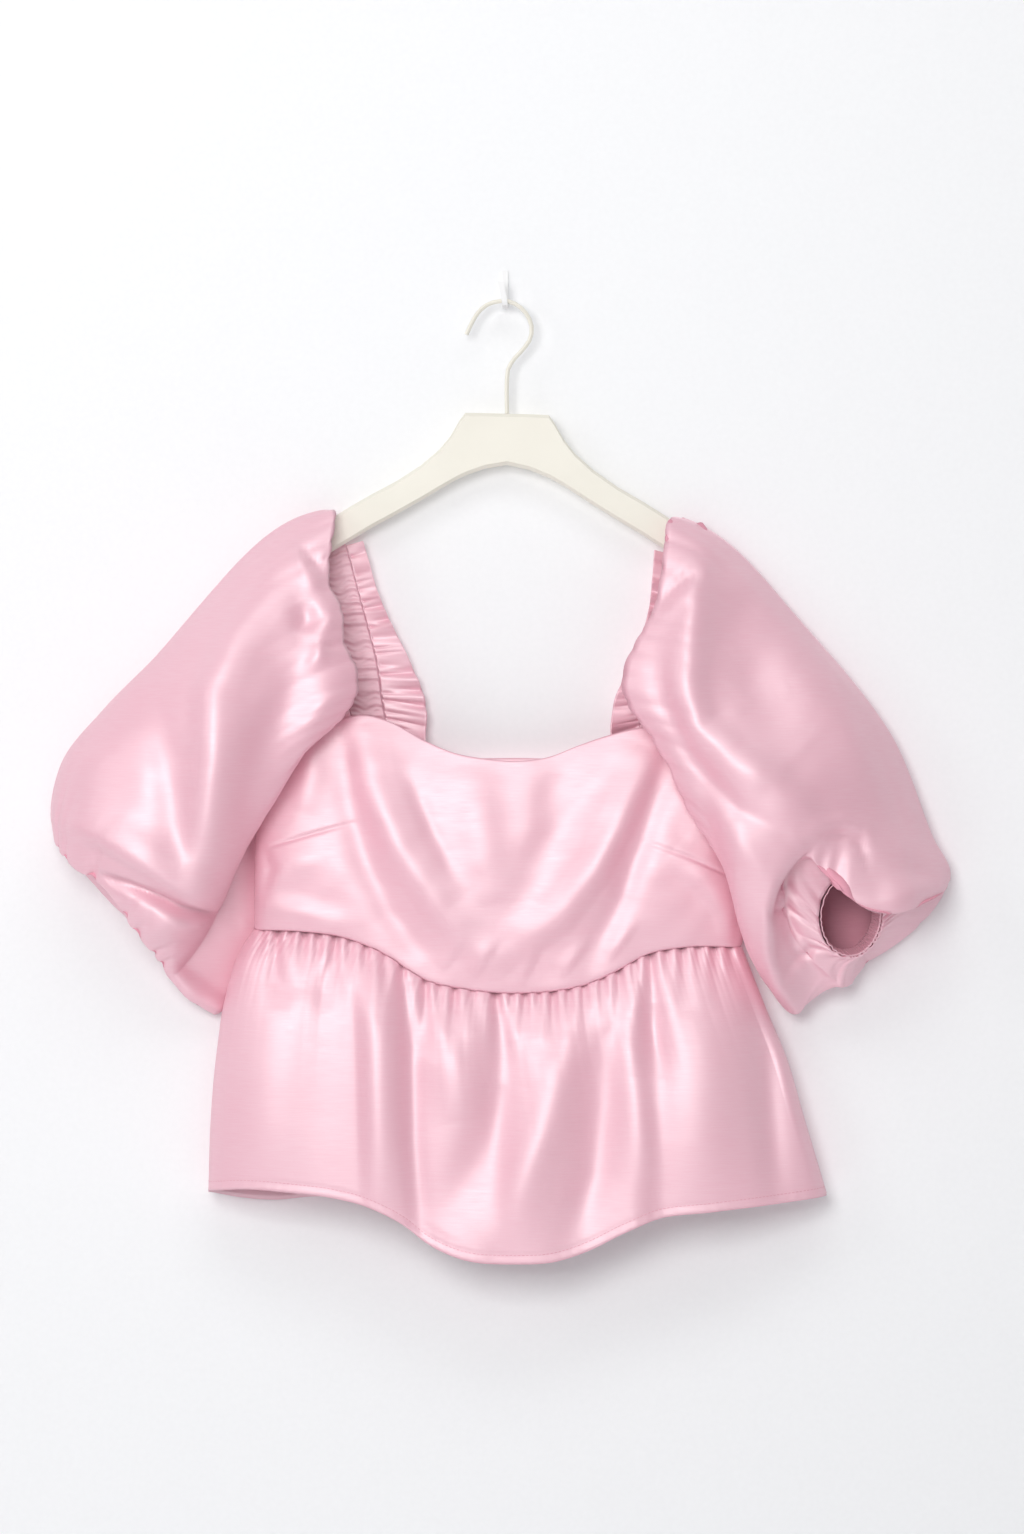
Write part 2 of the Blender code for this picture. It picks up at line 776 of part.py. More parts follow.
def seam_ring(side):
    """Armhole seam: down the strap and the front armhole, then up the back."""
    sign = -1 if side == "left" else 1
    clear = CLOTH / 2 + SEAM_GAP + 0.9
    rows = strap_rows(side)
    steps = np.linalg.norm(np.diff(rows[:, :3], axis=0), axis=1)
    knots = np.concatenate([[0.0], np.cumsum(steps)]) / steps.sum()
    top = knots[len(table(STRAP_ROWS[side])) + 2]
    _, front_strap, _ = strap_edges(side, np.linspace(top, knots[1], 9))
    _, back_strap, _ = strap_edges(side, np.linspace(0.97, top, 9))
    for edge in (front_strap, back_strap):
        edge[:, 0] += sign * (clear + 1.0)
    end = -223.0 if side == "left" else 214.5
    inner = front_strap[-1, 0]
    x = inner + (end - inner) * np.array([0.3, 0.55, 0.8])
    z = edge_beyond(FRONT_TOP, x, clear)
    front_hole = np.stack([x, bodice_y(x, z, True), z], axis=1)
    inner = back_strap[0, 0]
    x = inner + (end - inner) * np.array([0.85, 0.6, 0.3])
    z = edge_beyond(BACK_TOP, x, clear)
    back_hole = np.stack([x, bodice_y(x, z, False), z], axis=1)
    low = edge_height(FRONT_TOP, np.array([end]))[0] + clear + 3.5
    fold = np.array([end, SIDE_Y - 8, low])
    under = np.array([end, SIDE_Y + 6, low])
    front = np.vstack([front_strap, front_hole, [fold]])
    back = np.vstack([[under], back_hole, back_strap])
    ring = join_ring(front, np.array([fold, [end + sign * 0.5, SIDE_Y, low - 0.5], under]), back)
    ring[:, 2] += SEAM_LIFT * near_top(2.5)
    return ring


def near_top(reach):
    """Weight of each column of a ring, 1 at the shoulder and fading within a few columns."""
    column = np.arange(RING_COLUMNS)
    return np.exp(-((np.minimum(column, RING_COLUMNS - column) / reach) ** 2))


def join_ring(front, under, back, lean=0.0):
    """One closed ring from its front, under and back curves. The lean crowds the front's columns to its end."""
    ahead = np.linspace(0, 1, FRONT_COLUMNS, endpoint=False)
    behind = np.linspace(0, 1, BACK_COLUMNS, endpoint=False)
    return np.vstack(
        [
            through(front, ahead + lean * np.sin(math.pi * ahead)),
            through(under, np.linspace(0, 1, UNDER_COLUMNS, endpoint=False)),
            through(back, 0.5 * behind + 0.25 * (1 - np.cos(math.pi * behind))),
        ]
    )


def section_ring(side, row):
    """Ring of the sleeve from a row of its sections."""
    sign = -1 if side == "left" else 1
    outer_x, outer_z, fold_x, fold_z, under_x, under_z, bow, front_depth, edge, fold_y = row
    outer = np.array([outer_x, outer_z])
    fold = np.array([fold_x, fold_z])
    chord = fold - outer
    neckward = np.array([chord[1], -chord[0]]) / np.linalg.norm(chord)
    if neckward[0] * sign > 0:
        neckward = -neckward
    angle = np.linspace(0, math.pi, 15)
    share = (1 - np.cos(angle)) / 2
    share = 0.6 * share + 0.4 * angle / math.pi
    flat = outer + chord * share[:, None] + neckward * (bow * np.sin(angle))[:, None]
    base = edge + (fold_y - edge) * share
    y = -(base + (front_depth - base) * np.sin(angle) ** 0.7)
    front = np.stack([flat[:, 0], y, flat[:, 1]], axis=1)
    under_points = np.array(
        [
            (fold_x, -fold_y, fold_z),
            ((fold_x + under_x) / 2, (UNDER_Y - fold_y) / 2, (fold_z + under_z) / 2),
            (under_x, UNDER_Y, under_z),
        ]
    )
    angle = np.linspace(0, math.pi, 9)
    share = 0.5 * (1 - np.cos(angle)) / 2 + 0.5 * angle / math.pi
    ends = np.array([under_x, under_z])
    flat = ends + (outer - ends) * share[:, None]
    start = np.where(share < 0.5, UNDER_Y, -edge)
    y = SLEEVE_BACK_Y + (start - SLEEVE_BACK_Y) * (1 - np.sin(angle)) ** 4
    back = np.stack([flat[:, 0], y, flat[:, 1]], axis=1)
    return join_ring(front, under_points, back)


def cuff_ring(side, inward, wider=0.0):
    """Ring of the elastic cuff, so far in from its seam."""
    sizes = CUFFS[side]
    way = np.array(sizes["way"]) / np.linalg.norm(sizes["way"])
    first = np.array(sizes["first"])
    second = np.cross(way, first) * (1 if side == "left" else -1)
    angle = np.interp(np.arange(RING_COLUMNS), sizes["quarters"], np.linspace(0, 2 * math.pi, 5))
    along, across_it = np.array(sizes["halves"]) * (1 - 0.08 * inward / CUFF_LENGTH) + wider
    ring = np.array(sizes["middle"]) + way * inward
    ring = ring + first * (along * np.cos(angle))[:, None]
    return ring + second * (across_it * np.sin(angle))[:, None]


def sleeve_rings(side):
    sign = -1 if side == "left" else 1
    seam = seam_ring(side)
    front_lip = table(LIP_ROWS[side])
    back_seam = seam[FRONT_COLUMNS + UNDER_COLUMNS :]
    fold = front_lip[-1]
    under = seam[FRONT_COLUMNS + UNDER_COLUMNS] + np.array([sign * 3.0, 4.0, -3.0])
    back_top = table(LIP_BACK_TOP[side])
    back = back_seam + np.array([sign * 6.0, 4.6, 0.0])
    back = back[back[:, 2] < back_top[0, 2] - 12.0]
    back = np.vstack([[under], back[1:], back_top, [front_lip[0]]])
    middle = (fold + under) / 2 + np.array([sign * 1.0, 0.0, -1.0])
    lip = join_ring(front_lip, np.array([fold, middle, under]), back)
    move = lip - seam
    # In front the cloth stands out before it rolls over the strap. Behind it runs straight outwards.
    behind = np.where(np.arange(RING_COLUMNS) >= FRONT_COLUMNS + UNDER_COLUMNS, 1.0, 0.0)[:, None]
    stand = seam + move * (np.array([0.06, 0.3, 0.06]) * (1 - behind) + behind / 3)
    stand[:, 2] += 3.0 * near_top(1.6)
    stand[:, 0] += sign * (1.0 + 3.0 * near_top(1.6) * behind[:, 0])
    turn = seam + move * (np.array([0.5, 0.62, 0.5]) * (1 - behind) + behind * 2 / 3)
    turn[:, 0] += sign * 3.0 * near_top(1.6) * behind[:, 0]
    sections = [section_ring(side, row) for row in table(SLEEVE_ROWS[side])]
    over = lip + (sections[0] - lip) * 0.28
    puffed = np.sin(math.pi * np.clip(np.arange(RING_COLUMNS) / FRONT_COLUMNS, 0, 1)).clip(0)
    over[:, 1] -= 12.0 * np.sqrt(puffed)
    over[:, 2] += 6.5 * near_top(3.5)
    brim_curves = [table(rows[side]) for rows in (BRIM_FRONT, BRIM_UNDER, BRIM_BACK)]
    brim = join_ring(*brim_curves, lean=BRIM_LEAN[side])
    cuff = cuff_ring(side, 0.0, CLOTH + SHIRRING + SEAM_GAP)
    middle = brim.mean(axis=0)
    axis = sections[-2].mean(axis=0) - middle
    axis = axis / np.linalg.norm(axis)
    along = np.roll(brim, -1, axis=0) - np.roll(brim, 1, axis=0)
    inward = np.cross(axis, along / np.linalg.norm(along, axis=1, keepdims=True))
    inward = inward + 0.5 * (np.roll(inward, -1, axis=0) + np.roll(inward, 1, axis=0))
    inward = inward / np.linalg.norm(inward, axis=1, keepdims=True)
    inward = inward * np.sign(np.sum(inward * (middle - brim)))
    rolled = brim + axis * BRIM_ROLL
    tip = brim + inward * BRIM_ROLL
    turned = brim + axis * BRIM_ROLL + inward * BRIM_ROLL * 2
    facing = turned + (cuff - turned) * 0.5 + axis * 5.0
    return [seam, stand, turn, lip, over, *sections, rolled, tip, turned, facing, cuff]


def build_sleeve(side):
    rings = sleeve_rings(side)
    # Rows between one ring and the next, from the armhole to the cuff
    between = (1, 1, 1, 1, 1, 2, 2, 1, 2, 1, 1, 1, 1, 1)
    steps = [np.mean(np.linalg.norm(b - a, axis=1)) for a, b in zip(rings, rings[1:])]
    knots = np.concatenate([[0.0], np.cumsum(steps)])
    places = [knots[0]]
    for index, count in enumerate(between):
        places += list(np.linspace(knots[index], knots[index + 1], count + 1)[1:])
    stack = np.array(rings)
    grid = smooth(knots, stack.reshape(len(rings), -1), np.array(places)).reshape(-1, RING_COLUMNS, 3)
    normals = grid_normals(grid, True)
    column = np.arange(RING_COLUMNS)
    zigzag = np.where(column % 2 == 0, 1.0, -1.0)
    zigzag = zigzag * np.where((column > 5) & (column < FRONT_COLUMNS - 5), 1.0, 0.0)
    fade = np.zeros(len(places))
    fade[1:5] = (1.0, 1.2, 1.0, 0.5)
    grid = grid + normals * (SLEEVE_GATHER * fade[:, None] * zigzag[None, :])[..., None]
    if side == "left":
        grid = grid[:, ::-1]
    add_wall("sleeve_" + side, grid, CLOTH, SATIN, closed=True)


def build_cuff(side):
    lines = [cuff_ring(side, inward) for inward in (0.0, CUFF_LENGTH / 2, CUFF_LENGTH)]
    places = np.arange(CUFF_RUNS) * RING_COLUMNS / CUFF_RUNS
    grid = []
    for line in lines:
        round_line = np.vstack([line, line[:1]])
        grid.append(smooth(np.arange(RING_COLUMNS + 1), round_line, places))
    grid = np.array(grid)
    if side == "left":
        grid = grid[:, ::-1]
    ridge = np.where(np.arange(CUFF_RUNS) % 2 == 0, SHIRRING, 0.0)
    relief = np.broadcast_to(ridge, grid.shape[:2])
    add_wall("cuff_" + side, grid, CLOTH, ELASTIC, closed=True, outer_relief=relief)


def build_hanger():
    """Flat arm of even thickness, its outline from the table on both sides of the middle."""
    half = table(HANGER_ROWS)
    stations = [(-x, top, low) for x, top, low in half[:0:-1]] + [tuple(row) for row in half]
    edge = HANGER_EDGE
    deep = HANGER_THICKNESS / 2
    points = []
    for x, top, low in stations:
        drop = x * math.tan(HANGER_TILT)
        corners = (
            (-deep, top - edge),
            (-deep + edge, top),
            (deep - edge, top),
            (deep, top - edge),
            (deep, low + edge),
            (deep - edge, low),
            (-deep + edge, low),
            (-deep, low + edge),
        )
        points += [(x, HANGER_Y + y, z - drop) for y, z in corners]
    count = 8
    faces = []
    for station in range(len(stations) - 1):
        for corner in range(count):
            a = station * count + corner
            b = station * count + (corner + 1) % count
            faces.append((a, b, b + count, a + count))
    faces.append(tuple(range(count)))
    last = (len(stations) - 1) * count
    faces.append(tuple(last + corner for corner in range(count)))
    add_mesh("hanger", points, faces, CREAM)


def build_wire():
    """Question-mark hook of round wire, which ends on the top of the hanger."""
    foot = (0.0, hanger_height(0.0, 1) + SEAM_GAP)
    line = through(np.vstack([table(WIRE_POINTS), foot]), np.linspace(0, 1, WIRE_RUNS + 1))
    curve = bpy.data.curves.new("hanger_hook", "CURVE")
    curve.dimensions = "3D"
    curve.bevel_depth = WIRE / 2 * MM
    curve.bevel_resolution = 2
    curve.use_fill_caps = True
    spline = curve.splines.new("POLY")
    spline.points.add(len(line) - 1)
    for point, (x, z) in zip(spline.points, line):
        point.co = (x * MM, HANGER_Y * MM, z * MM, 1.0)
    obj = bpy.data.objects.new("hanger_hook", curve)
    bpy.context.scene.collection.objects.link(obj)
    add_material(obj, CREAM_WIRE)


def build_wall_hook():
    """Flat strip that runs down the wall, out under the wire and up in front of it."""
    path = table(HOOK_PATH)
    points = []
    for index, middle in enumerate(path):
        before = path[max(index - 1, 0)]
        after = path[min(index + 1, len(path) - 1)]
        way = Vector((0.0, after[1] - before[1], after[2] - before[2])).normalized()
        outward = np.array([0.0, way.z, -way.y])
        side = np.array([HOOK_WIDTH / 2, 0.0, 0.0])
        half = outward * HOOK_STRIP / 2
        points += [middle - side - half, middle + side - half, middle + side + half, middle - side + half]
    faces = [(0, 1, 2, 3)]
    for index in range(len(path) - 1):
        for corner in range(4):
            a = index * 4 + corner
            b = index * 4 + (corner + 1) % 4
            faces.append((a, b, b + 4, a + 4))
    last = (len(path) - 1) * 4
    faces.append((last, last + 1, last + 2, last + 3))
    add_mesh("wall_hook", points, faces, WHITE)


def main():
    clear_scene()
    build_body()
    build_hanger()
    build_wire()
    build_wall_hook()
    for side in ("left", "right"):
        build_strap(side)
        build_frill(side)
        build_sleeve(side)
        build_cuff(side)


main()
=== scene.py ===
"""Looks of a satin peplum top on a hanger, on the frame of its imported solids.

The cloth pieces are thin shells on the same tables and surfaces as the solids, with finer gathers and the
creases that the photograph shows. The tables are in millimetres, and the meshes in metres, +Z up. The wall
is the plane y = 0 and the garment faces -Y. Left and right are the viewer's.
"""

import math

import bpy
import numpy as np
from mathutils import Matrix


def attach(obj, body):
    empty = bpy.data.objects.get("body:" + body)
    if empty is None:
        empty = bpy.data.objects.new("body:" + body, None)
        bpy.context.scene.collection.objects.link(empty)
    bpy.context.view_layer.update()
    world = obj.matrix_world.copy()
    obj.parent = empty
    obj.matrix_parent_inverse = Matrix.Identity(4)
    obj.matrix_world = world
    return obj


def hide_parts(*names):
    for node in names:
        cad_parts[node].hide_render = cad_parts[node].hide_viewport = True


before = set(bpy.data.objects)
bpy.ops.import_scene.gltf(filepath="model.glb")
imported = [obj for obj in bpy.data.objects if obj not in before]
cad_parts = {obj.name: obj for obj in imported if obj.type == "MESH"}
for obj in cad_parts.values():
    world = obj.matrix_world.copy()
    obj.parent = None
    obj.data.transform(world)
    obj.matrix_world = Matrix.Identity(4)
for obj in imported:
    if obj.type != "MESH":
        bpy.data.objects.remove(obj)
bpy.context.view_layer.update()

MM = 0.001

# Picture that the creases are placed by: its size in pixels, and where the origin lies in it
PICTURE = (1024, 1534)
PICTURE_ORIGIN = (507.0, 284.0)
MM_PER_PIXEL = 0.88

# Shells: their thickness, and how finely they are drawn
SHELL = 0.9
DETAIL = 6
SLEEVE_STEP = 4.0
STRAP_DETAIL = 520
WALL_CLEARANCE = -1.2

# Columns of a sleeve's ring in front, under the fold and behind, before they are drawn more finely
FRONT_SPAN = 22
UNDER_SPAN = 4
BACK_SPAN = 14
FULL_RING = FRONT_SPAN + UNDER_SPAN + BACK_SPAN

# Dip of the cloth at its seams, and the ridges along the back neckline
SEAM_DIP = 1.3
SEAM_DIP_REACH = 1.8
BACK_RIDGE = 0.9
BACK_RIDGES = 62

# Peplum: puckers and gathers below the waist, waves and groove of the hem, and shares of the tables' sizes
PUCKER = 1.0
PUCKERS = 95
PUCKER_REACH = 14.0
SOFT_GATHER = 0.9
SOFT_GATHERS = 33
SOFT_REACH = 45.0
HEM_WAVE = 0.35
HEM_WAVES = 54
HEM_DEPTH = 8.0
HEM_GROOVE = 0.5
FOLD_SHARE = 0.5
GATHER_GAIN = 2.0
GATHER_WIDTH = 1.15
GATHER_REACH = 1.2

# Sleeves: how much the creases turn to the viewer, how far the shoulder is smoothed, and the gathers
CREASE_FACING = 1.0
RELAX_LENGTH = 20.0
SHOULDER_GATHERS = 34
SHOULDER_DEPTH = 1.9
SHOULDER_REACH = 42.0
MOUTH_GATHERS = 13
MOUTH_DEPTH = 4.5
MOUTH_REACH = 34.0
CUFF_GATHERS = 22
CUFF_DEPTH = 3.0
CUFF_REACH = 16.0

# Straps, frills and cuffs
STRAP_RIDGES = 36
STRAP_RIDGE = 1.9
STRAP_FINE_RIDGE = 0.8
FRILL_GATHERS = 17
FRILL_DEPTH = 3.4
FRILL_CURL = 9.0
CUFF_RIDGES = 40
CUFF_RIDGE = 1.2
CUFF_CHANNELS = 4

# Stitches of the hem, and the thread's thickness along a stitch
STITCH = 2.6
STITCH_GAP = 1.0
STITCH_SIDES = 6
THREAD = 0.28
STITCH_PROFILE = ((0.0, 0.35), (0.15, 0.85), (0.5, 1.0), (0.85, 0.85), (1.0, 0.35))

# Cloth pieces: the CAD node that each replaces, its slot, its flat size in metres and how it is held
PIECES = {
    "bodice_front": ("front_bodice", "satin", (0.47, 0.24), "hung"),
    "bodice_back": ("back_bodice", "satin", (0.46, 0.19), "hung"),
    "peplum_front": ("front_peplum", "satin", (0.66, 0.24), "gathered"),
    "peplum_back": ("back_peplum", "satin", (0.62, 0.23), "gathered"),
    "puff": ("sleeve", "satin", (0.5, 0.42), "gathered"),
    "band": ("strap", "shirred_satin", (0.4, 0.035), "gathered"),
    "ruffle": ("frill", "satin", (0.19, 0.03), "gathered"),
    "elastic": ("cuff", "shirred_satin", (0.2, 0.026), "gathered"),
}

# Gathers of the peplum along the waist, in millimetres
WAIST_GATHERS = (
    ("x", "drift", "depth", "width", "reach"),
    (-216, -4, 2, 3, 40),
    (-202, -6, 4, 3.5, 64),
    (-190, -5, 2.2, 2.6, 34),
    (-178, -5, 3.6, 3.2, 50),
    (-166, -3, 3.4, 3, 44),
    (-151, -3, 3.8, 3.2, 52),
    (-138, -2, 2.4, 2.8, 30),
    (-124, -1, 3, 3, 42),
    (-108, 0, 2, 3, 34),
    (-92, 2, 3.2, 3.4, 60),
    (-72, 1, 4, 3, 56),
    (-60, 0, 2.4, 2.8, 34),
    (-46, -1, 3.6, 3, 48),
    (-30, 2, 2.2, 3, 30),
    (-10, 9, 4.6, 4, 66),
    (4, 2, 2.4, 2.8, 34),
    (16, 2, 3.6, 3.2, 46),
    (28, 1, 2.4, 2.6, 34),
    (40, 2, 3.6, 3.2, 50),
    (54, 2, 2.6, 3, 36),
    (68, 3, 3, 3, 44),
    (84, 3, 2.4, 3, 34),
    (98, 3, 3.4, 3.2, 50),
    (112, 3, 2.2, 2.8, 30),
    (126, 5, 4.2, 4, 76),
    (140, 4, 2.4, 3, 36),
    (154, 5, 3.4, 3.2, 52),
    (168, 5, 2.4, 3, 38),
    (182, 6, 3.2, 3.2, 48),
    (196, 6, 2.2, 3, 40),
)

# Creases: the line they follow in the picture, in pixels, then width and height in millimetres, then how
# much wider they are on one side than on the other
BODICE_CREASES = (
    (((361, 724), (375, 786), (402, 852), (443, 910), (488, 957)), 19, 9.5, 0.2),
    (((650, 748), (619, 821), (595, 869), (560, 915), (505, 955)), 17, 9, -0.3),
    (((344, 745), (350, 804), (366, 860), (390, 912), (430, 962)), 14, -5.5, 0),
    (((664, 770), (645, 828), (621, 897), (590, 960)), 12, -6, 0),
    (((409, 776), (430, 828), (452, 872)), 8, -2.4, 0),
    (((474, 765), (482, 840), (492, 905)), 20, 4, 0),
    (((560, 772), (556, 835), (530, 900)), 24, -5.5, 0.2),
    (((440, 968), (462, 938)), 6, 1.6, 0.3),
    (((472, 975), (492, 944)), 6, 1.8, 0.3),
    (((520, 978), (536, 948)), 6, 1.6, 0.3),
    (((562, 972), (586, 940)), 6, 1.5, 0.3),
    (((608, 958), (632, 925)), 6, 1.4, 0.3),
    (((271, 846), (312, 834), (355, 822)), 1.8, -1.5, 0),
    (((731, 877), (690, 858), (645, 841)), 1.8, -1.5, 0),
    (((258, 880), (292, 862), (330, 862)), 16, 3.2, 0),
    (((262, 905), (300, 912), (345, 925)), 10, 2.6, 0),
    (((256, 845), (270, 868), (262, 892)), 7, -2.6, 0),
    (((672, 850), (706, 880), (726, 908), (735, 940)), 15, 4.6, 0.3),
    (((668, 785), (698, 822), (722, 852)), 12, 3, 0),
    (((735, 880), (745, 905), (738, 940)), 8, -3, 0),
    (((308, 742), (312, 776), (300, 812)), 12, 3.4, 0),
)
PEPLUM_CREASES = (
    (((282, 985), (272, 1040), (268, 1110), (270, 1185)), 38, 7, 0),
    (((372, 960), (378, 1040), (380, 1120), (382, 1205)), 20, 10, 0.45),
    (((410, 985), (410, 1060), (412, 1140), (420, 1222)), 10, -5, 0),
    (((272, 955), (282, 985), (284, 1010)), 12, -3.5, 0),
    (((330, 960), (322, 985), (324, 1015)), 10, -3, 0),
    (((448, 1010), (452, 1060), (462, 1120)), 20, 5.5, 0),
    (((512, 1030), (508, 1085), (478, 1160), (440, 1225)), 22, -7, 0),
    (((572, 1030), (560, 1075), (545, 1130), (518, 1190), (494, 1250)), 20, 8, 0.1),
    (((606, 1020), (604, 1100), (596, 1170), (566, 1240)), 17, -7, 0),
    (((652, 1002), (656, 1040), (664, 1078)), 12, -5, 0),
    (((640, 1075), (644, 1130), (648, 1190)), 14, 4, 0),
    (((704, 1010), (702, 1085), (698, 1140), (704, 1200)), 34, 7, 0),
    (((748, 965), (766, 1050), (770, 1120), (776, 1195)), 13, -6, 0),
    (((782, 1010), (797, 1080), (808, 1140), (820, 1190)), 10, 3.5, 0),
)
SLEEVE_CREASES = {
    "left": (
        (((285, 540), (271, 593), (238, 640), (217, 690), (218, 766), (209, 834), (203, 897)), 20, 13, 0.2),
        (((306, 655), (278, 720), (256, 780), (240, 840)), 18, -6, 0),
        (((150, 690), (172, 760), (180, 825), (184, 864)), 18, -7.5, 0),
        (((222, 903), (206, 897), (180, 882), (150, 862), (120, 844), (88, 830), (60, 822)), 14, 14, -0.55),
        (((234, 921), (210, 914), (186, 908), (158, 895), (128, 883), (98, 874)), 5, -15, 0.4),
        (((138, 916), (152, 926), (176, 922), (206, 926)), 12, 4.5, 0),
        (((158, 956), (180, 951), (202, 936)), 8, -3.5, 0),
        (((300, 604), (307, 618), (304, 634)), 11, -8, 0),
        (((324, 636), (321, 656), (311, 668)), 7, 4.5, 0),
        (((340, 608), (332, 618), (330, 628)), 5, 3.5, 0),
        (((332, 581), (318, 563), (303, 548)), 4.5, -5.5, 0),
        (((322, 592), (306, 572), (290, 545)), 6, 3.5, 0),
        (((352, 647), (334, 646), (317, 643)), 3.5, -4.5, 0),
        (((352, 690), (326, 706), (300, 735)), 9, 3, 0),
        (((120, 700), (96, 770), (84, 815)), 22, 3, 0),
    ),
    "right": (
        (((698, 558), (689, 630), (685, 686), (695, 728), (728, 760), (768, 781), (796, 810)), 19, 13, -0.1),
        (((732, 588), (748, 650), (764, 700), (806, 742)), 34, -12, 0),
        (((648, 614), (672, 589), (695, 570)), 4, -8.5, 0),
        (((650, 630), (674, 604), (690, 592)), 6.5, 4.5, 0),
        (((632, 660), (640, 700), (662, 745)), 9, 3, 0),
        (((655, 650), (664, 700), (690, 757), (735, 808), (778, 830)), 8.5, -5.5, 0),
        (((700, 790), (730, 835), (765, 880)), 12, 3.5, 0),
        (((806, 650), (848, 722), (878, 805)), 22, 4, 0),
        (((852, 700), (888, 770), (908, 832)), 14, -3.5, 0),
        (((822, 835), (842, 835), (857, 842), (868, 862)), 3.8, -5, 0),
        (((800, 840), (815, 826), (838, 821), (862, 828), (880, 852)), 8.5, 4.5, 0),
        (((872, 858), (905, 870), (942, 874)), 9, -3.5, 0),
        (((872, 896), (908, 895), (942, 884)), 7, 3, 0),
        (((758, 908), (790, 952), (828, 998)), 9, 3, 0),
    ),
}

# Colours and roughness
SATIN_PALE = (0.86, 0.48, 0.57)
SATIN_DEEP = (0.83, 0.40, 0.50)
SATIN_ROUGHNESS = 0.51
SATIN_SHINE = 2.5
# Reverse side of the satin: rougher and less shiny, like a real satin back. Its colours are darker than the
# face, which is painted shade for the inside of the sleeves.
REVERSE_PAINTED_SHADE_PALE = (0.8, 0.38, 0.47)
REVERSE_PAINTED_SHADE_DEEP = (0.74, 0.32, 0.41)
REVERSE_ROUGHNESS = 0.75
REVERSE_SHINE = 1.3
SHIRRED_PALE = (0.84, 0.45, 0.54)
SHIRRED_DEEP = (0.78, 0.37, 0.46)
SHIRRED_ROUGHNESS = 0.59
THREAD_PALE = (0.82, 0.42, 0.50)
THREAD_DEEP = (0.74, 0.33, 0.42)
CREAM_PALE = (0.84, 0.81, 0.72)
CREAM_DEEP = (0.80, 0.77, 0.68)
HOOK_PALE = (0.86, 0.86, 0.86)
HOOK_DEEP = (0.8, 0.8, 0.8)
WALL_PALE = (0.9, 0.905, 0.915)
WALL_DEEP = (0.885, 0.89, 0.9)
FLOOR_PALE = (0.82, 0.82, 0.83)
FLOOR_DEEP = (0.79, 0.79, 0.8)

# Stage, in metres
WALL_SIZE = 7.0
FLOOR_Z = -1.6
CAMERA_DISTANCE = 5.0
CAMERA_PLANE_Y = -0.05
WORLD_STRENGTH = 0.34
LIGHTS = (
    ("key", (-0.7, -3.5, 0.3), (0.0, 0.0, -0.5), (1.6, 1.4), 63.0, (1.0, 0.99, 0.985)),
    ("side", (-2.4, -1.8, 0.7), (0.0, 0.0, -0.5), (0.9, 1.6), 10.0, (1.0, 1.0, 1.0)),
    ("top", (0.1, -1.8, 1.8), (0.0, 0.0, -0.5), (2.4, 0.8), 14.0, (1.0, 1.0, 1.0)),
    ("behind", (0.6, 3.4, 0.6), (0.0, 0.0, -0.5), (1.6, 1.4), 36.0, (1.0, 1.0, 1.0)),
)

# Cloth and seams
CLOTH = 1.5
BAND = 2.5
SEAM_GAP = 0.3

# Body of the top: where its side seams lie, and how square its flattened rings are
SIDE_Y = -21.0
BACK_Y = -9.6
ROUNDNESS = 2.6

# Columns of the sleeves' rings
FRONT_COLUMNS = FRONT_SPAN * DETAIL
UNDER_COLUMNS = UNDER_SPAN * DETAIL
BACK_COLUMNS = BACK_SPAN * DETAIL
RING_COLUMNS = FULL_RING * DETAIL

# Bodice by height
BODICE_ROWS = (
    ("z", "left edge", "right edge", "front"),
    (-375, -221, 213, -43),
    (-420, -222, 214, -50),
    (-470, -222.5, 214, -57),
    (-520, -223, 213.5, -60),
    (-560, -223.5, 211.5, -58),
    (-584, -223.5, 207.7, -56),
    (-630, -223.5, 207.7, -54),
)

# Top edge of the front: armholes, strap corners and the dipped neckline
FRONT_TOP = (
    ("x", "z"),
    (-223, -462),
    (-202, -434),
    (-175, -403),
    (-150, -385),
    (-128, -379.5),
    (-104, -385),
    (-72, -402),
    (-47, -412.5),
    (-18, -418),
    (10, -419.8),
    (37, -416),
    (62, -406.5),
    (90, -397),
    (130, -390),
    (152, -394),
    (176, -410),
    (198, -438),
    (214.5, -467),
)

# Top edge of the back, drawn up by its elastic
BACK_TOP = (
    ("x", "z"),
    (-223, -462),
    (-200, -438),
    (-165, -413),
    (-137, -401),
    (-104, -401),
    (-80, -409),
    (-48, -415.5),
    (10, -417),
    (62, -416),
    (90, -409),
    (112, -401),
    (146, -401),
    (176, -414),
    (198, -440),
    (214.5, -467),
)

FRONT_WAIST = (
    ("x", "z"),
    (-223.5, -568.5),
    (-180, -570),
    (-148, -574),
    (-112, -587.5),
    (-69, -613.5),
    (-37, -620.5),
    (3, -624),
    (42, -622),
    (71, -616),
    (99, -603),
    (122, -590.5),
    (154, -584),
    (207.7, -584),
)

BACK_WAIST = (
    ("x", "z"),
    (-223.5, -568.5),
    (-120, -578),
    (0, -600),
    (120, -588),
    (207.7, -584),
)

# Peplum by share of its length
PEPLUM_ROWS = (
    ("share", "left edge", "right edge", "front"),
    (0, -223.5, 207.7, -56),
    (0.08, -235.5, 214.5, -64),
    (0.25, -248.5, 229, -71),
    (0.45, -256, 247, -75),
    (0.7, -261.5, 263, -78),
    (1, -264, 282.5, -80),
)

FRONT_HEM = (
    ("x", "z"),
    (-264, -799),
    (-234, -796),
    (-184, -799),
    (-151, -803),
    (-120, -811),
    (-91, -826),
    (-69, -843),
    (-47, -853.5),
    (13, -860),
    (42, -858),
    (71, -849),
    (103, -833),
    (129, -822),
    (179, -815),
    (232, -809.5),
    (282.5, -803.5),
)

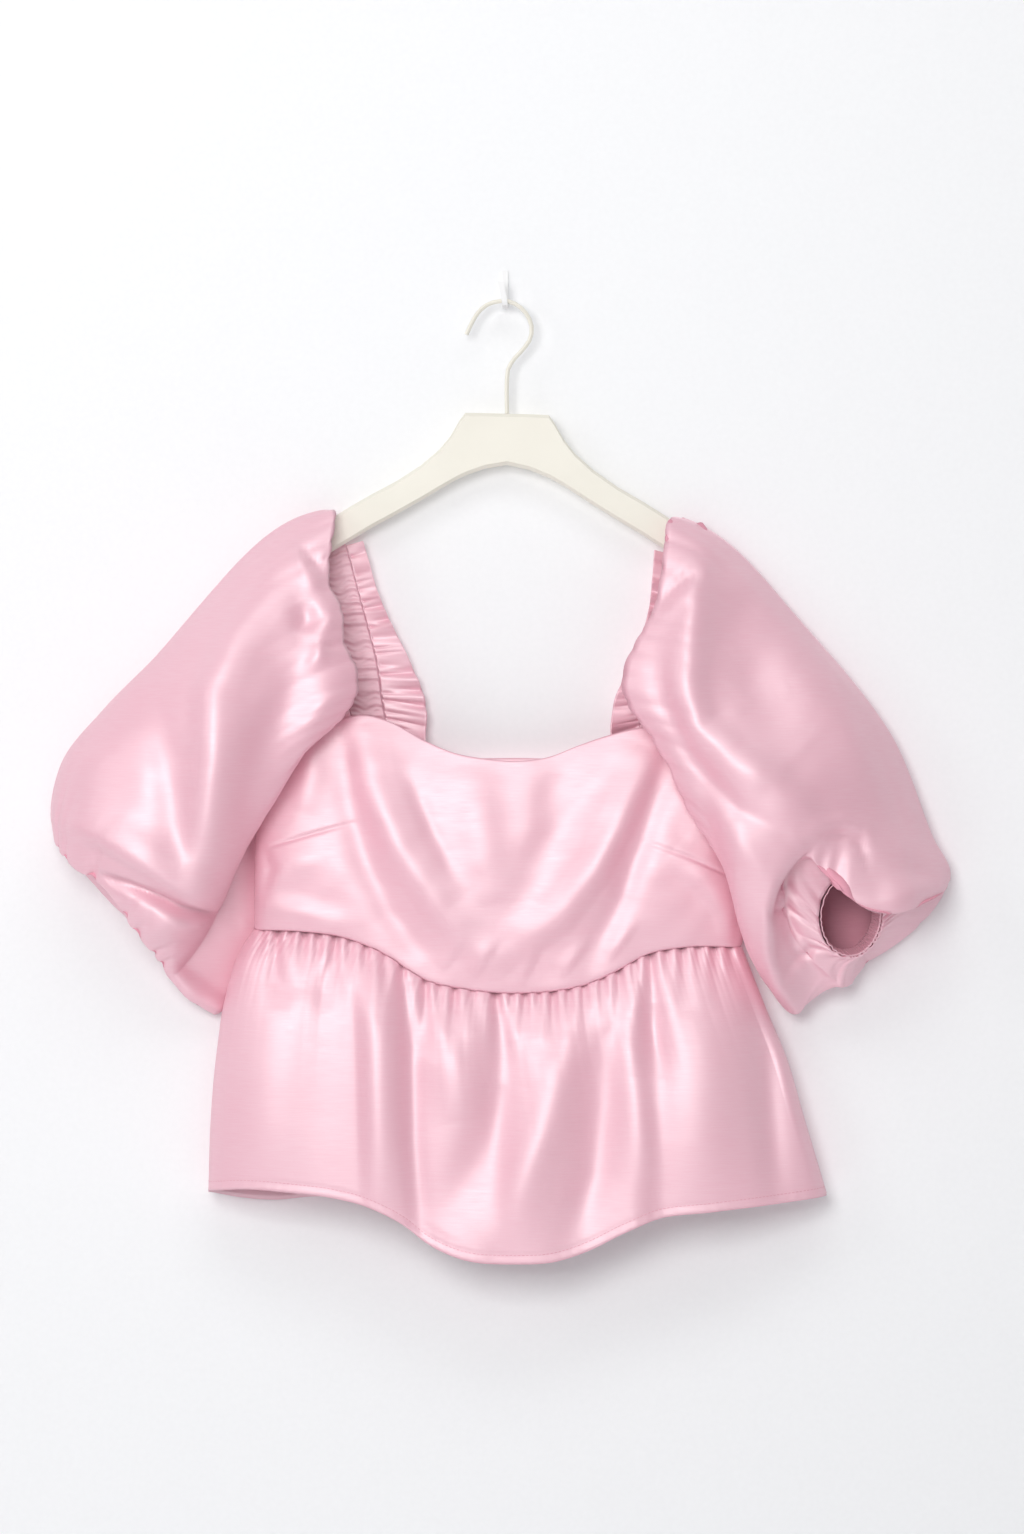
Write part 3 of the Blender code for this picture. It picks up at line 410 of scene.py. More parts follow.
BACK_HEM = (
    ("x", "z"),
    (-264, -801),
    (-235, -806.5),
    (-205, -808.5),
    (-175, -806),
    (-100, -812),
    (0, -835),
    (100, -818),
    (200, -804),
    (282.5, -802),
)

# Large folds of the front peplum. Forward is towards the viewer
PEPLUM_FOLDS = (
    ("waist x", "hem x", "width", "forward", "starts at share"),
    (-190, -225, 26, 5, 0),
    (-112, -118, 22, 7, 0),
    (-82, -78, 14, -8, 0),
    (-44, -40, 18, 3, 0.05),
    (-6, -8, 10, -5, 0),
    (20, 22, 18, 6, 0.05),
    (66, 74, 14, -6, 0.1),
    (104, 114, 11, 6, 0.1),
    (124, 134, 10, -6, 0),
    (160, 188, 26, 5, 0.1),
    (200, 250, 14, -5, 0.2),
)

# Large folds of the back peplum, pressed flat by the wall
BACK_FOLDS = (
    ("waist x", "hem x", "width", "forward", "starts at share"),
    (-150, -180, 24, 3, 0),
    (-60, -70, 20, -3, 0.1),
    (40, 50, 22, 3, 0),
    (140, 170, 24, -3, 0.1),
)

# Hanger: the top edge of its right half before it is tilted, and the tilt
HANGER_TOP = (
    ("from the middle", "z"),
    (0, -112.4),
    (20, -112.4),
    (37, -112.6),
    (42, -119.5),
    (50, -133.5),
    (60, -146),
    (76, -160),
    (98, -174.8),
    (120, -187),
    (140, -199),
    (160, -212),
    (180, -226),
    (192, -237),
)
HANGER_TILT = math.radians(1.5)
# Straps of elastic, 30 wide, from the front corner over the hanger to the back
STRAP_WIDTH = 30.0
STRAP_ROWS = {
    "left": (
        ("middle x", "y", "z", "slope"),
        (-150, -41, -391, 0),
        (-155, -43, -372, 0),
        (-163, -45, -340, 0),
        (-171, -44, -300, 0.1),
        (-174, -39.5, -262, 0.3),
        (-171, -33, -234, 0.55),
    ),
    "right": (
        ("middle x", "y", "z", "slope"),
        (144, -42, -401, 0),
        (147, -43.5, -380, 0),
        (156, -45, -345, 0),
        (163, -44, -304, 0.1),
        (166, -39.5, -268, 0.3),
        (165, -33, -240, 0.55),
    ),
}
STRAP_BACK_ROWS = {
    "left": (
        ("middle x", "y", "z", "slope"),
        (-157, -10.6, -234, 0.4),
        (-149.5, -10.4, -262, 0.15),
        (-139, -10.4, -300, 0),
        (-131, -10.4, -332, 0),
        (-126.5, -10.4, -364, 0),
        (-120.5, -10.4, -398.6, 0),
    ),
    "right": (
        ("middle x", "y", "z", "slope"),
        (160, -10.6, -242, 0.4),
        (159, -10.4, -270, 0.15),
        (157, -10.4, -302, 0),
        (152, -10.4, -332, 0),
        (142, -10.4, -364, 0),
        (129, -10.4, -398.6, 0),
    ),
}
# Where a strap lies on the hanger arm. The lift is above the top of the arm
STRAP_OVER = (
    ("from the middle", "y", "lift", "slope"),
    (168, -29, -5.5, 0.665),
    (166.5, -25.4, 1.8, 0.665),
    (165.5, -20, 2.4, 0.665),
    (165, -14.4, 1.8, 0.665),
    (163, -11, -5.5, 0.665),
)
STRAP_SHIFT = {"left": 0, "right": 4.0}
SHIRRING = 0.7

# Frills on the back of the straps
FRILL_ROWS = {
    "left": (
        ("share down the strap", "width", "depth of waves"),
        (0, 15, 3),
        (0.3, 17, 5),
        (0.6, 28, 6),
        (0.85, 40, 6.5),
        (1, 40, 5),
    ),
    "right": (
        ("share down the strap", "width", "depth of waves"),
        (0, 15, 3),
        (0.3, 17, 5),
        (0.6, 27, 6),
        (0.85, 32, 6),
        (1, 30, 5),
    ),
}
FRILL_WAVES = 9

# Sleeves. The lip is the edge of the puff that rolls over the strap towards the neck
LIP_ROWS = {
    "left": (
        ("x", "y", "z"),
        (-162, -20.5, -197.5),
        (-152, -38, -199),
        (-154, -58, -231),
        (-155.5, -66, -262),
        (-144, -70, -289),
        (-142, -73, -317),
        (-132, -75, -337),
        (-130.5, -75, -358),
        (-143, -73, -381),
        (-174, -66, -408),
        (-200, -54, -440),
        (-223, -38, -466),
    ),
    "right": (
        ("x", "y", "z"),
        (156, -20.5, -204),
        (143.5, -38, -206),
        (137.5, -58, -237),
        (128.5, -68, -286),
        (112, -73, -317),
        (103, -76, -336),
        (100.5, -77, -354),
        (107, -77, -373),
        (122.5, -77, -394),
        (143.5, -76, -431),
        (160, -74, -466),
        (181, -69, -497),
        (199, -62, -524),
        (217.5, -44, -546),
    ),
}
# The same edge behind the shoulder, up to its top
LIP_BACK_TOP = {
    "left": (("x", "y", "z"), (-184, -5.6, -240), (-184, -7, -222), (-179, -12, -207)),
    "right": (("x", "y", "z"), (185, -5.6, -246), (183, -7, -229), (174, -12, -213)),
}
# Sections down the sleeve
SLEEVE_ROWS = {
    "left": (
        ("outer x", "outer z", "fold x", "fold z", "under x", "under z", "bow", "front", "edge", "fold y"),
        (-215.5, -219, -231, -492, -223, -500, 46, 90, 14, 28),
        (-262, -270, -237, -508, -219.5, -522, 30, 106, 15, 24),
        (-310, -326, -250, -540, -220.5, -558, 16, 112, 16, 22),
        (-357, -374, -268, -576, -235, -598, 6, 108, 18, 22),
        (-394.5, -422, -284, -598, -248, -625, 4, 94, 20, 25),
    ),
    "right": (
        ("outer x", "outer z", "fold x", "fold z", "under x", "under z", "bow", "front", "edge", "fold y"),
        (205, -230.5, 219, -554, 218.5, -500, 47, 92, 14, 42),
        (248, -283, 214, -570, 220, -532, 43, 106, 15, 38),
        (297, -338, 216, -592, 222, -568, 48, 114, 16, 34),
        (343, -402, 230, -618, 232, -602, 56, 114, 18, 31),
        (375.5, -484, 257, -643, 256, -633, 86, 104, 20, 30),
    ),
}
# The brim is the fold at the sleeve's end, where the puff turns in to its elastic
BRIM_FRONT = {
    "left": (
        ("x", "y", "z"),
        (-404, -20, -477),
        (-398, -42, -494),
        (-380, -64, -514),
        (-358, -71, -527),
        (-341, -71, -547),
        (-326, -66, -571),
        (-309, -52, -592),
        (-298, -33, -612),
    ),
    "right": (
        ("x", "y", "z"),
        (393, -20, -524),
        (380, -56, -540),
        (352, -86, -550),
        (322, -98, -554),
        (303, -100, -546),
        (287, -98, -528),
        (268, -94, -508),
        (251, -86, -508),
        (243, -77, -528),
        (243.5, -69, -550),
        (250, -62, -574),
        (264, -55, -592),
        (284, -46, -610),
    ),
}
BRIM_UNDER = {
    "left": (("x", "y", "z"), (-298, -33, -612), (-279, -25, -633), (-258.5, -14, -645)),
    "right": (("x", "y", "z"), (284, -46, -610), (295, -39, -620), (304, -28, -617)),
}
BRIM_BACK = {
    "left": (
        ("x", "y", "z"),
        (-258.5, -14, -645),
        (-264, -7, -640),
        (-300, -5, -602),
        (-345, -5, -552),
        (-385, -6, -508),
        (-400, -10.5, -484),
        (-404, -20, -477),
    ),
    "right": (
        ("x", "y", "z"),
        (304, -28, -617),
        (318, -14, -600),
        (344, -9, -583),
        (369, -8, -562),
        (387, -10, -538),
        (393, -20, -524),
    ),
}
# Elastic cuff inside the puff: middle of its seam, the way it runs in, where its columns start, its half
# sizes along and across that, and the columns at each quarter turn
CUFFS = {
    "left": {
        "middle": (-326, -37, -545),
        "way": (0.756, 0, 0.653),
        "first": (-0.653, 0, 0.756),
        "halves": (39, 21),
        "quarters": (0, 10, 20, 30, 40),
    },
    "right": {
        "middle": (302, -62, -556),
        "way": (-0.2, 0.97, 0.1),
        "first": (1, 0.2, 0),
        "halves": (26, 34),
        "quarters": (0, 7, 12, 21, 40),
    },
}
CUFF_LENGTH = 22.0
SLEEVE_BACK_Y = -4.2
UNDER_Y = -8.0
SEAM_LIFT = 4.0
BRIM_ROLL = 1.3
BRIM_LEAN = {"left": 0.0, "right": 0.137}

# Places in the list of a sleeve's rings
LIP_RING = 3
FIRST_SECTION = 5
MIDDLE_SECTION = 7
LAST_SECTION = 9
BRIM_RING = 10
TURNED_RING = 12
CUFF_RING = 14


def places_across(columns):
    """Places from side seam to side seam, -1 to 1, closer together near the seams."""
    angle = np.linspace(-math.pi / 2, math.pi / 2, columns + 1)
    return 0.55 * np.sin(angle) + 0.45 * angle / (math.pi / 2)


def table(rows):
    """The numbers of a table, without the row that names its columns."""
    return np.array([row for row in rows if not isinstance(row[0], str)], float)


def smooth(knots, values, at):
    """Cubic through the values at the knots."""
    knots = np.asarray(knots, float)
    values = np.asarray(values, float)
    at = np.clip(np.asarray(at, float), knots[0], knots[-1])
    slopes = np.gradient(values, knots, axis=0)
    index = np.clip(np.searchsorted(knots, at, side="right") - 1, 0, len(knots) - 2)
    step = knots[index + 1] - knots[index]
    share = (at - knots[index]) / step
    if values.ndim > 1:
        share = share[..., None]
        step = step[..., None]
    square = share * share
    cube = square * share
    return (
        (2 * cube - 3 * square + 1) * values[index]
        + (cube - 2 * square + share) * step * slopes[index]
        + (3 * square - 2 * cube) * values[index + 1]
        + (cube - square) * step * slopes[index + 1]
    )


def lengths_to(points):
    """Length of a line up to each of its points."""
    steps = np.linalg.norm(np.diff(points, axis=0), axis=1)
    return np.concatenate([[0.0], np.cumsum(steps)])


def through(points, shares):
    """Smooth curve through the points, read at shares of its length."""
    points = np.asarray(points, float)
    lengths = lengths_to(points)
    return smooth(lengths / lengths[-1], points, shares)


def between(left, right, place):
    """x at a place from -1 to 1 between two edges."""
    return (left + right) / 2 + (right - left) / 2 * place


def grid_normals(grid, closed):
    """Unit normals of a grid of points, whose columns may run round."""
    down = np.gradient(grid, axis=0)
    if closed:
        across = np.roll(grid, -1, axis=1) - np.roll(grid, 1, axis=1)
    else:
        across = np.gradient(grid, axis=1)
    normals = np.cross(across, down)
    return normals / np.linalg.norm(normals, axis=2, keepdims=True)


def bulge(place):
    """How far a flattened half ring stands out at a place from -1 to 1."""
    return np.maximum(1 - np.abs(place) ** ROUNDNESS, 0.0) ** (1 / ROUNDNESS)


def edge_height(edge, x):
    rows = table(edge)
    return smooth(rows[:, 0], rows[:, 1], x)


def edge_beyond(edge, x, distance):
    """Height of a line that runs so far outside an edge."""
    slope = (edge_height(edge, x + 1.0) - edge_height(edge, x - 1.0)) / 2.0
    return edge_height(edge, x) + distance * np.sqrt(1 + slope**2)


def bodice_levels(z):
    rows = table(BODICE_ROWS)[::-1]
    return smooth(rows[:, 0], rows[:, 1:], z)


def bodice_y(x, z, front):
    """Where the middle of the bodice's cloth lies at an x and z."""
    left, right, front_y = bodice_levels(np.asarray(z, float)).T
    place = np.clip((x - (left + right) / 2) / ((right - left) / 2), -1, 1)
    far = front_y if front else BACK_Y
    return SIDE_Y + (far - SIDE_Y) * bulge(place)


def half_ring(place, left, right, far, seam):
    """x and y round one half of a flattened ring. Its ends stop short of the side seams."""
    x = between(left, right, place)
    start = SIDE_Y + seam * np.sign(far - SIDE_Y)
    return x, start + (far - start) * bulge(place)


def bodice_grid(top, waist, front, columns, rows):
    place = places_across(columns)
    grid = []
    for share in np.linspace(0, 1, rows + 1):
        # The two edges are read where this column meets them.
        guess = place * 218 - 4
        for _ in range(3):
            low = edge_height(waist, guess)
            high = edge_height(top, guess)
            z = low + (high - low) * share
            left, right, front_y = bodice_levels(z).T
            far = front_y if front else np.full_like(z, BACK_Y)
            guess, y = half_ring(place, left, right, far, SEAM_GAP / 2)
        grid.append(np.stack([guess, y, z], axis=1))
    return np.array(grid)


def fold_relief(folds, x_share, share, left, right):
    """Forward movement from the large folds, which grow towards the hem."""
    total = np.zeros_like(x_share)
    for waist_x, hem_x, width, forward, start in table(folds):
        middle = waist_x + (hem_x - waist_x) * share
        grown = np.clip((share - start) / 0.25, 0, 1)
        x = between(left, right, x_share)
        spread = width * (1 + 0.5 * share)
        total += forward * grown * np.exp(-(((x - middle) / spread) ** 2))
    return total


def hanger_height(x):
    """Top of the tilted hanger at an x."""
    rows = table(HANGER_TOP)
    return np.interp(abs(x), rows[:, 0], rows[:, 1]) - x * math.tan(HANGER_TILT)


def strap_rows(side):
    """Middle line of a strap as x, y, z and slope, from the front corner to the back."""
    sign = -1 if side == "left" else 1
    over = []
    for distance, y, lift, slope in table(STRAP_OVER):
        x = sign * (distance - STRAP_SHIFT[side])
        height = hanger_height(x) + SEAM_GAP + BAND / 2 + lift
        over.append((x, y, height, slope + sign * math.tan(HANGER_TILT)))
    return np.vstack([table(STRAP_ROWS[side]), over, table(STRAP_BACK_ROWS[side])])


def strap_edges(side, shares):
    """Neck edge and sleeve edge of a strap at shares of its length."""
    sign = -1 if side == "left" else 1
    rows = strap_rows(side)
    knots = lengths_to(rows[:, :3])
    knots = knots / knots[-1]
    line = smooth(knots, rows, shares)
    slope = line[:, 3]
    length = np.sqrt(1 + slope**2)
    reach = np.stack([sign / length, np.zeros_like(slope), -slope / length], axis=1)
    half = reach * STRAP_WIDTH / 2
    neck = line[:, :3] - half
    sleeve = line[:, :3] + half
    for edge in (neck, sleeve):
        # The front end is tucked behind the bodice.
        tucked = np.clip((knots[2] - shares) / knots[2], 0, 1)
        behind = bodice_y(edge[:, 0], edge[:, 2], True) + CLOTH / 2 + BAND / 2 + 1.2
        mix = np.clip(tucked * 2.2, 0, 1)
        edge[:, 1] = np.where(tucked > 0, edge[:, 1] * (1 - mix) + behind * mix, edge[:, 1])
    return neck, sleeve, knots


def seam_ring(side):
    """Armhole seam: down the strap and the front armhole, then up the back."""
    sign = -1 if side == "left" else 1
    clear = CLOTH / 2 + SEAM_GAP + 0.9
    rows = strap_rows(side)
    knots = lengths_to(rows[:, :3])
    knots = knots / knots[-1]
    top = knots[len(table(STRAP_ROWS[side])) + 2]
    _, front_strap, _ = strap_edges(side, np.linspace(top, knots[1], 9))
    _, back_strap, _ = strap_edges(side, np.linspace(0.97, top, 9))
    for edge in (front_strap, back_strap):
        edge[:, 0] += sign * (clear + 1.0)
    end = -223.0 if side == "left" else 214.5
    inner = front_strap[-1, 0]
    x = inner + (end - inner) * np.array([0.3, 0.55, 0.8])
    z = edge_beyond(FRONT_TOP, x, clear)
    front_hole = np.stack([x, bodice_y(x, z, True), z], axis=1)
    inner = back_strap[0, 0]
    x = inner + (end - inner) * np.array([0.85, 0.6, 0.3])
    z = edge_beyond(BACK_TOP, x, clear)
    back_hole = np.stack([x, bodice_y(x, z, False), z], axis=1)
    low = edge_height(FRONT_TOP, np.array([end]))[0] + clear + 3.5
    fold = np.array([end, SIDE_Y - 8, low])
    under = np.array([end, SIDE_Y + 6, low])
    front = np.vstack([front_strap, front_hole, [fold]])
    back = np.vstack([[under], back_hole, back_strap])
    ring = join_ring(front, np.array([fold, [end + sign * 0.5, SIDE_Y, low - 0.5], under]), back)
    ring[:, 2] += SEAM_LIFT * near_top(2.5)
    return ring


def near_top(reach):
    """Weight of each column of a ring, 1 at the shoulder and fading within a few columns."""
    column = np.arange(RING_COLUMNS) / DETAIL
    return np.exp(-((np.minimum(column, FULL_RING - column) / reach) ** 2))


def join_ring(front, under, back, lean=0.0):
    """Closed ring from three curves. The lean crowds the front's columns to its end."""
    ahead = np.linspace(0, 1, FRONT_COLUMNS, endpoint=False)
    behind = np.linspace(0, 1, BACK_COLUMNS, endpoint=False)
    return np.vstack(
        [
            through(front, ahead + lean * np.sin(math.pi * ahead)),
            through(under, np.linspace(0, 1, UNDER_COLUMNS, endpoint=False)),
            through(back, 0.5 * behind + 0.25 * (1 - np.cos(math.pi * behind))),
        ]
    )


def section_ring(side, row):
    """Ring of the sleeve from a row of its sections."""
    sign = -1 if side == "left" else 1
    outer_x, outer_z, fold_x, fold_z, under_x, under_z, bow, front_depth, edge, fold_y = row
    outer = np.array([outer_x, outer_z])
    fold = np.array([fold_x, fold_z])
    chord = fold - outer
    neckward = np.array([chord[1], -chord[0]]) / np.linalg.norm(chord)
    if neckward[0] * sign > 0:
        neckward = -neckward
    angle = np.linspace(0, math.pi, 15)
    share = (1 - np.cos(angle)) / 2
    share = 0.6 * share + 0.4 * angle / math.pi
    flat = outer + chord * share[:, None] + neckward * (bow * np.sin(angle))[:, None]
    base = edge + (fold_y - edge) * share
    y = -(base + (front_depth - base) * np.sin(angle) ** 0.7)
    front = np.stack([flat[:, 0], y, flat[:, 1]], axis=1)
    under_points = np.array(
        [
            (fold_x, -fold_y, fold_z),
            ((fold_x + under_x) / 2, (UNDER_Y - fold_y) / 2, (fold_z + under_z) / 2),
            (under_x, UNDER_Y, under_z),
        ]
    )
    angle = np.linspace(0, math.pi, 9)
    share = 0.5 * (1 - np.cos(angle)) / 2 + 0.5 * angle / math.pi
    ends = np.array([under_x, under_z])
    flat = ends + (outer - ends) * share[:, None]
    start = np.where(share < 0.5, UNDER_Y, -edge)
    y = SLEEVE_BACK_Y + (start - SLEEVE_BACK_Y) * (1 - np.sin(angle)) ** 4
    back = np.stack([flat[:, 0], y, flat[:, 1]], axis=1)
    return join_ring(front, under_points, back)


def cuff_ring(side, inward, wider=0.0):
    """Ring of the elastic cuff, so far in from its seam."""
    sizes = CUFFS[side]
    way = np.array(sizes["way"]) / np.linalg.norm(sizes["way"])
    first = np.array(sizes["first"])
    second = np.cross(way, first) * (1 if side == "left" else -1)
    angle = np.interp(np.arange(RING_COLUMNS) / DETAIL, sizes["quarters"], np.linspace(0, 2 * math.pi, 5))
    along, across_it = np.array(sizes["halves"]) * (1 - 0.08 * inward / CUFF_LENGTH) + wider
    ring = np.array(sizes["middle"]) + way * inward
    ring = ring + first * (along * np.cos(angle))[:, None]
    return ring + second * (across_it * np.sin(angle))[:, None]


def sleeve_rings(side):
    sign = -1 if side == "left" else 1
    seam = seam_ring(side)
    front_lip = table(LIP_ROWS[side])
    back_seam = seam[FRONT_COLUMNS + UNDER_COLUMNS :]
    fold = front_lip[-1]
    under = seam[FRONT_COLUMNS + UNDER_COLUMNS] + np.array([sign * 3.0, 4.0, -3.0])
    back_top = table(LIP_BACK_TOP[side])
    back = back_seam + np.array([sign * 6.0, 4.6, 0.0])
    back = back[back[:, 2] < back_top[0, 2] - 12.0]
    back = np.vstack([[under], back[1:], back_top, [front_lip[0]]])
    middle = (fold + under) / 2 + np.array([sign * 1.0, 0.0, -1.0])
    lip = join_ring(front_lip, np.array([fold, middle, under]), back)
    move = lip - seam
    # In front the cloth stands out before it rolls over the strap. Behind it runs straight outwards.
    behind = np.where(np.arange(RING_COLUMNS) >= FRONT_COLUMNS + UNDER_COLUMNS, 1.0, 0.0)[:, None]
    stand = seam + move * (np.array([0.06, 0.3, 0.06]) * (1 - behind) + behind / 3)
    stand[:, 2] += 3.0 * near_top(1.6)
    stand[:, 0] += sign * (1.0 + 3.0 * near_top(1.6) * behind[:, 0])
    turn = seam + move * (np.array([0.5, 0.62, 0.5]) * (1 - behind) + behind * 2 / 3)
    turn[:, 0] += sign * 3.0 * near_top(1.6) * behind[:, 0]
    sections = [section_ring(side, row) for row in table(SLEEVE_ROWS[side])]
    over = lip + (sections[0] - lip) * 0.28
    puffed = np.sin(math.pi * np.clip(np.arange(RING_COLUMNS) / FRONT_COLUMNS, 0, 1)).clip(0)
    over[:, 1] -= 12.0 * np.sqrt(puffed)
    over[:, 2] += 6.5 * near_top(3.5)
    brim_curves = [table(rows[side]) for rows in (BRIM_FRONT, BRIM_UNDER, BRIM_BACK)]
    brim = join_ring(*brim_curves, lean=BRIM_LEAN[side])
    cuff = cuff_ring(side, 0.0, CLOTH + SHIRRING + SEAM_GAP)
    middle = brim.mean(axis=0)
    axis = sections[-2].mean(axis=0) - middle
    axis = axis / np.linalg.norm(axis)
    along = np.roll(brim, -1, axis=0) - np.roll(brim, 1, axis=0)
    inward = np.cross(axis, along / np.linalg.norm(along, axis=1, keepdims=True))
    inward = inward + 0.5 * (np.roll(inward, -1, axis=0) + np.roll(inward, 1, axis=0))
    inward = inward / np.linalg.norm(inward, axis=1, keepdims=True)
    inward = inward * np.sign(np.sum(inward * (middle - brim)))
    rolled = brim + axis * BRIM_ROLL
    tip = brim + inward * BRIM_ROLL
    turned = brim + axis * BRIM_ROLL + inward * BRIM_ROLL * 2
    facing = turned + (cuff - turned) * 0.5 + axis * 5.0
    return [seam, stand, turn, lip, over, *sections, rolled, tip, turned, facing, cuff]


def placed(line):
    """x and z in millimetres of points given in the picture."""
    points = np.array(line, float) - PICTURE_ORIGIN
    return points * np.array([MM_PER_PIXEL, -MM_PER_PIXEL])


def crease_field(points, creases):
    """Height of soft ridges and troughs at points, from the lines of a crease table."""
    x = points[..., 0]
    z = points[..., 2]
    total = np.zeros(x.shape)
    for line, width, height, lean in creases:
        ends = placed(line)
        lengths = np.linalg.norm(np.diff(ends, axis=0), axis=1)
        nearest = np.full(x.shape, 1e9)
        side = np.zeros(x.shape)
        along = np.zeros(x.shape)
        start = 0.0
        for a, b, length in zip(ends, ends[1:], lengths):
            way = (b - a) / length
            share = np.clip((x - a[0]) * way[0] + (z - a[1]) * way[1], 0, length)
            off_x = x - a[0] - way[0] * share
            off_z = z - a[1] - way[1] * share
            distance = np.hypot(off_x, off_z)
            closer = distance < nearest
            across = (way[0] * off_z - way[1] * off_x) / width
            side = np.where(closer, np.clip(across, -1, 1), side)
            along = np.where(closer, start + share, along)
            nearest = np.minimum(nearest, distance)
            start += length
        taper = np.sin(math.pi * (0.06 + 0.88 * along / start)) ** 0.8
        spread = width * (1 + lean * side)
        total += height * taper * np.exp(-((nearest / spread) ** 2))
    return total


def uneven(place, seed):
    """Slow uneven numbers from 0 to 1 along a place from 0 to 1, the same at both ends."""
    turn = 2 * math.pi * place
    slow = np.sin(3 * turn + seed) + 0.7 * np.sin(7 * turn + 2.3 * seed)
    return 0.5 + 0.5 * (slow + 0.5 * np.sin(13 * turn + 4.1 * seed)) / 2.2


def gather_wave(place, count, seed):
    """Narrow valleys of uneven depth and spacing, from 0 down to -1."""
    turn = 2 * math.pi * place
    phase = count * place + 0.32 * np.sin(3 * turn + seed) + 0.2 * np.sin(8 * turn + 1.7 * seed)
    valley = (0.5 + 0.5 * np.cos(2 * math.pi * phase)) ** 2.2
    return -valley * (0.35 + 0.65 * uneven(place, seed + 5.0))


def rumple(points, size, seed):
    """Smooth uneven surface from -1 to 1, built of a few slanted waves of about this size."""
    turn = 2 * math.pi / size
    x, y, z = points[..., 0], points[..., 1], points[..., 2]
    first = np.sin(turn * (x + 0.6 * z + 0.4 * y) + seed + 1.3 * np.sin(turn * 0.37 * (z - x)))
    second = np.sin(turn * 1.7 * (0.8 * x - z) + 2.1 * seed + 1.1 * np.sin(turn * 0.6 * (x + y)))
    third = np.sin(turn * 2.9 * (z + 0.2 * x) + 3.7 * seed)
    return (first + 0.6 * second + 0.3 * third) / 1.9


def outward(grid, closed, centre=None):
    """Unit normals that point away from a centre, or towards the viewer where there is none."""
    normals = grid_normals(grid, closed)
    if centre is None:
        return normals * np.sign(-np.sum(normals[..., 1]))
    return normals * np.sign(np.sum(normals * (grid - centre)))


def add_object(name, data):
    obj = bpy.data.objects.new(name, data)
    bpy.context.scene.collection.objects.link(obj)
    return obj


def add_cloth(name, grid, closed):
    """Thin shell through a grid of points in millimetres, with its grid as the cloth's threads."""
    rows, columns = grid.shape[:2]
    mesh = bpy.data.meshes.new(name)
    faces = []
    threads = []
    spans = columns if closed else columns - 1
    for row in range(rows - 1):
        for column in range(spans):
            after = (column + 1) % columns
            here, below = row * columns, (row + 1) * columns
            faces.append((here + column, here + after, below + after, below + column))
            u = (column / columns, (column + 1) / columns)
            v = (row / rows, (row + 1) / rows)
            threads += [(u[0], v[0]), (u[1], v[0]), (u[1], v[1]), (u[0], v[1])]
    mesh.from_pydata((grid.reshape(-1, 3) * MM).tolist(), [], faces)
    layer = mesh.uv_layers.new(name="threads")
    layer.data.foreach_set("uv", np.array(threads, np.float32).reshape(-1))
    mesh.shade_smooth()
    obj = add_object(name, mesh)
    solid = obj.modifiers.new("thickness", "SOLIDIFY")
    solid.thickness = SHELL * MM
    solid.offset = 0.0
    return obj


def hem_path(grid):
    """Places in a grid where the row of stitches runs, so far in from its last row, column by column."""
    steps = np.linalg.norm(np.diff(grid[::-1], axis=0), axis=2)
    reach = np.concatenate([np.zeros((1, steps.shape[1])), np.cumsum(steps, axis=0)])
    columns = np.arange(grid.shape[1])
    rows = [np.interp(HEM_DEPTH, reach[:, column], np.arange(len(reach))) for column in columns]
    return np.stack([grid.shape[0] - 1 - np.array(rows), columns.astype(float)], axis=1)


def add_stitches(name, grid, material):
    """Row of raised stitches that lies on a peplum's shell along its hem."""
    path = hem_path(grid)
    normals = outward(grid, False)
    rows = np.clip(path[:, 0], 0, grid.shape[0] - 1.001)
    columns = np.clip(path[:, 1], 0, grid.shape[1] - 1.001)
    row, column = rows.astype(int), columns.astype(int)
    down, across = (rows - row)[:, None], (columns - column)[:, None]

    def read(values):
        near = values[row, column] * (1 - across) + values[row, column + 1] * across
        far = values[row + 1, column] * (1 - across) + values[row + 1, column + 1] * across
        return near * (1 - down) + far * down

    line, up = read(grid), read(normals)
    lengths = lengths_to(line)
    points, faces = [], []
    for start in np.arange(STITCH / 2, lengths[-1] - STITCH, STITCH + STITCH_GAP):
        first = len(points)
        for share, fat in STITCH_PROFILE:
            at = start + STITCH * share
            middle = np.array([np.interp(at, lengths, line[:, axis]) for axis in range(3)])
            normal = np.array([np.interp(at, lengths, up[:, axis]) for axis in range(3)])
            ahead = np.array([np.interp(at + 0.5, lengths, line[:, axis]) for axis in range(3)])
            way = ahead - middle
            side = np.cross(normal, way / (np.linalg.norm(way) + 1e-9))
            for angle in np.linspace(0, 2 * math.pi, STITCH_SIDES, endpoint=False):
                offset = normal * math.sin(angle) * 0.8 + side * math.cos(angle)
                points.append(middle + normal * (SHELL / 2 + 0.05) + offset * THREAD * fat)
        for ring in range(len(STITCH_PROFILE) - 1):
            for corner in range(STITCH_SIDES):
                a = first + ring * STITCH_SIDES + corner
                b = first + ring * STITCH_SIDES + (corner + 1) % STITCH_SIDES
                faces.append((a, b, b + STITCH_SIDES, a + STITCH_SIDES))
        faces.append(tuple(range(first, first + STITCH_SIDES))[::-1])
        last = first + (len(STITCH_PROFILE) - 1) * STITCH_SIDES
        faces.append(tuple(range(last, last + STITCH_SIDES)))
    mesh = bpy.data.meshes.new(name)
    mesh.from_pydata((np.array(points) * MM).tolist(), [], faces)
    mesh.shade_smooth()
    obj = add_object(name, mesh)
    obj.data.materials.append(material)
    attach(obj, "root")
    return obj


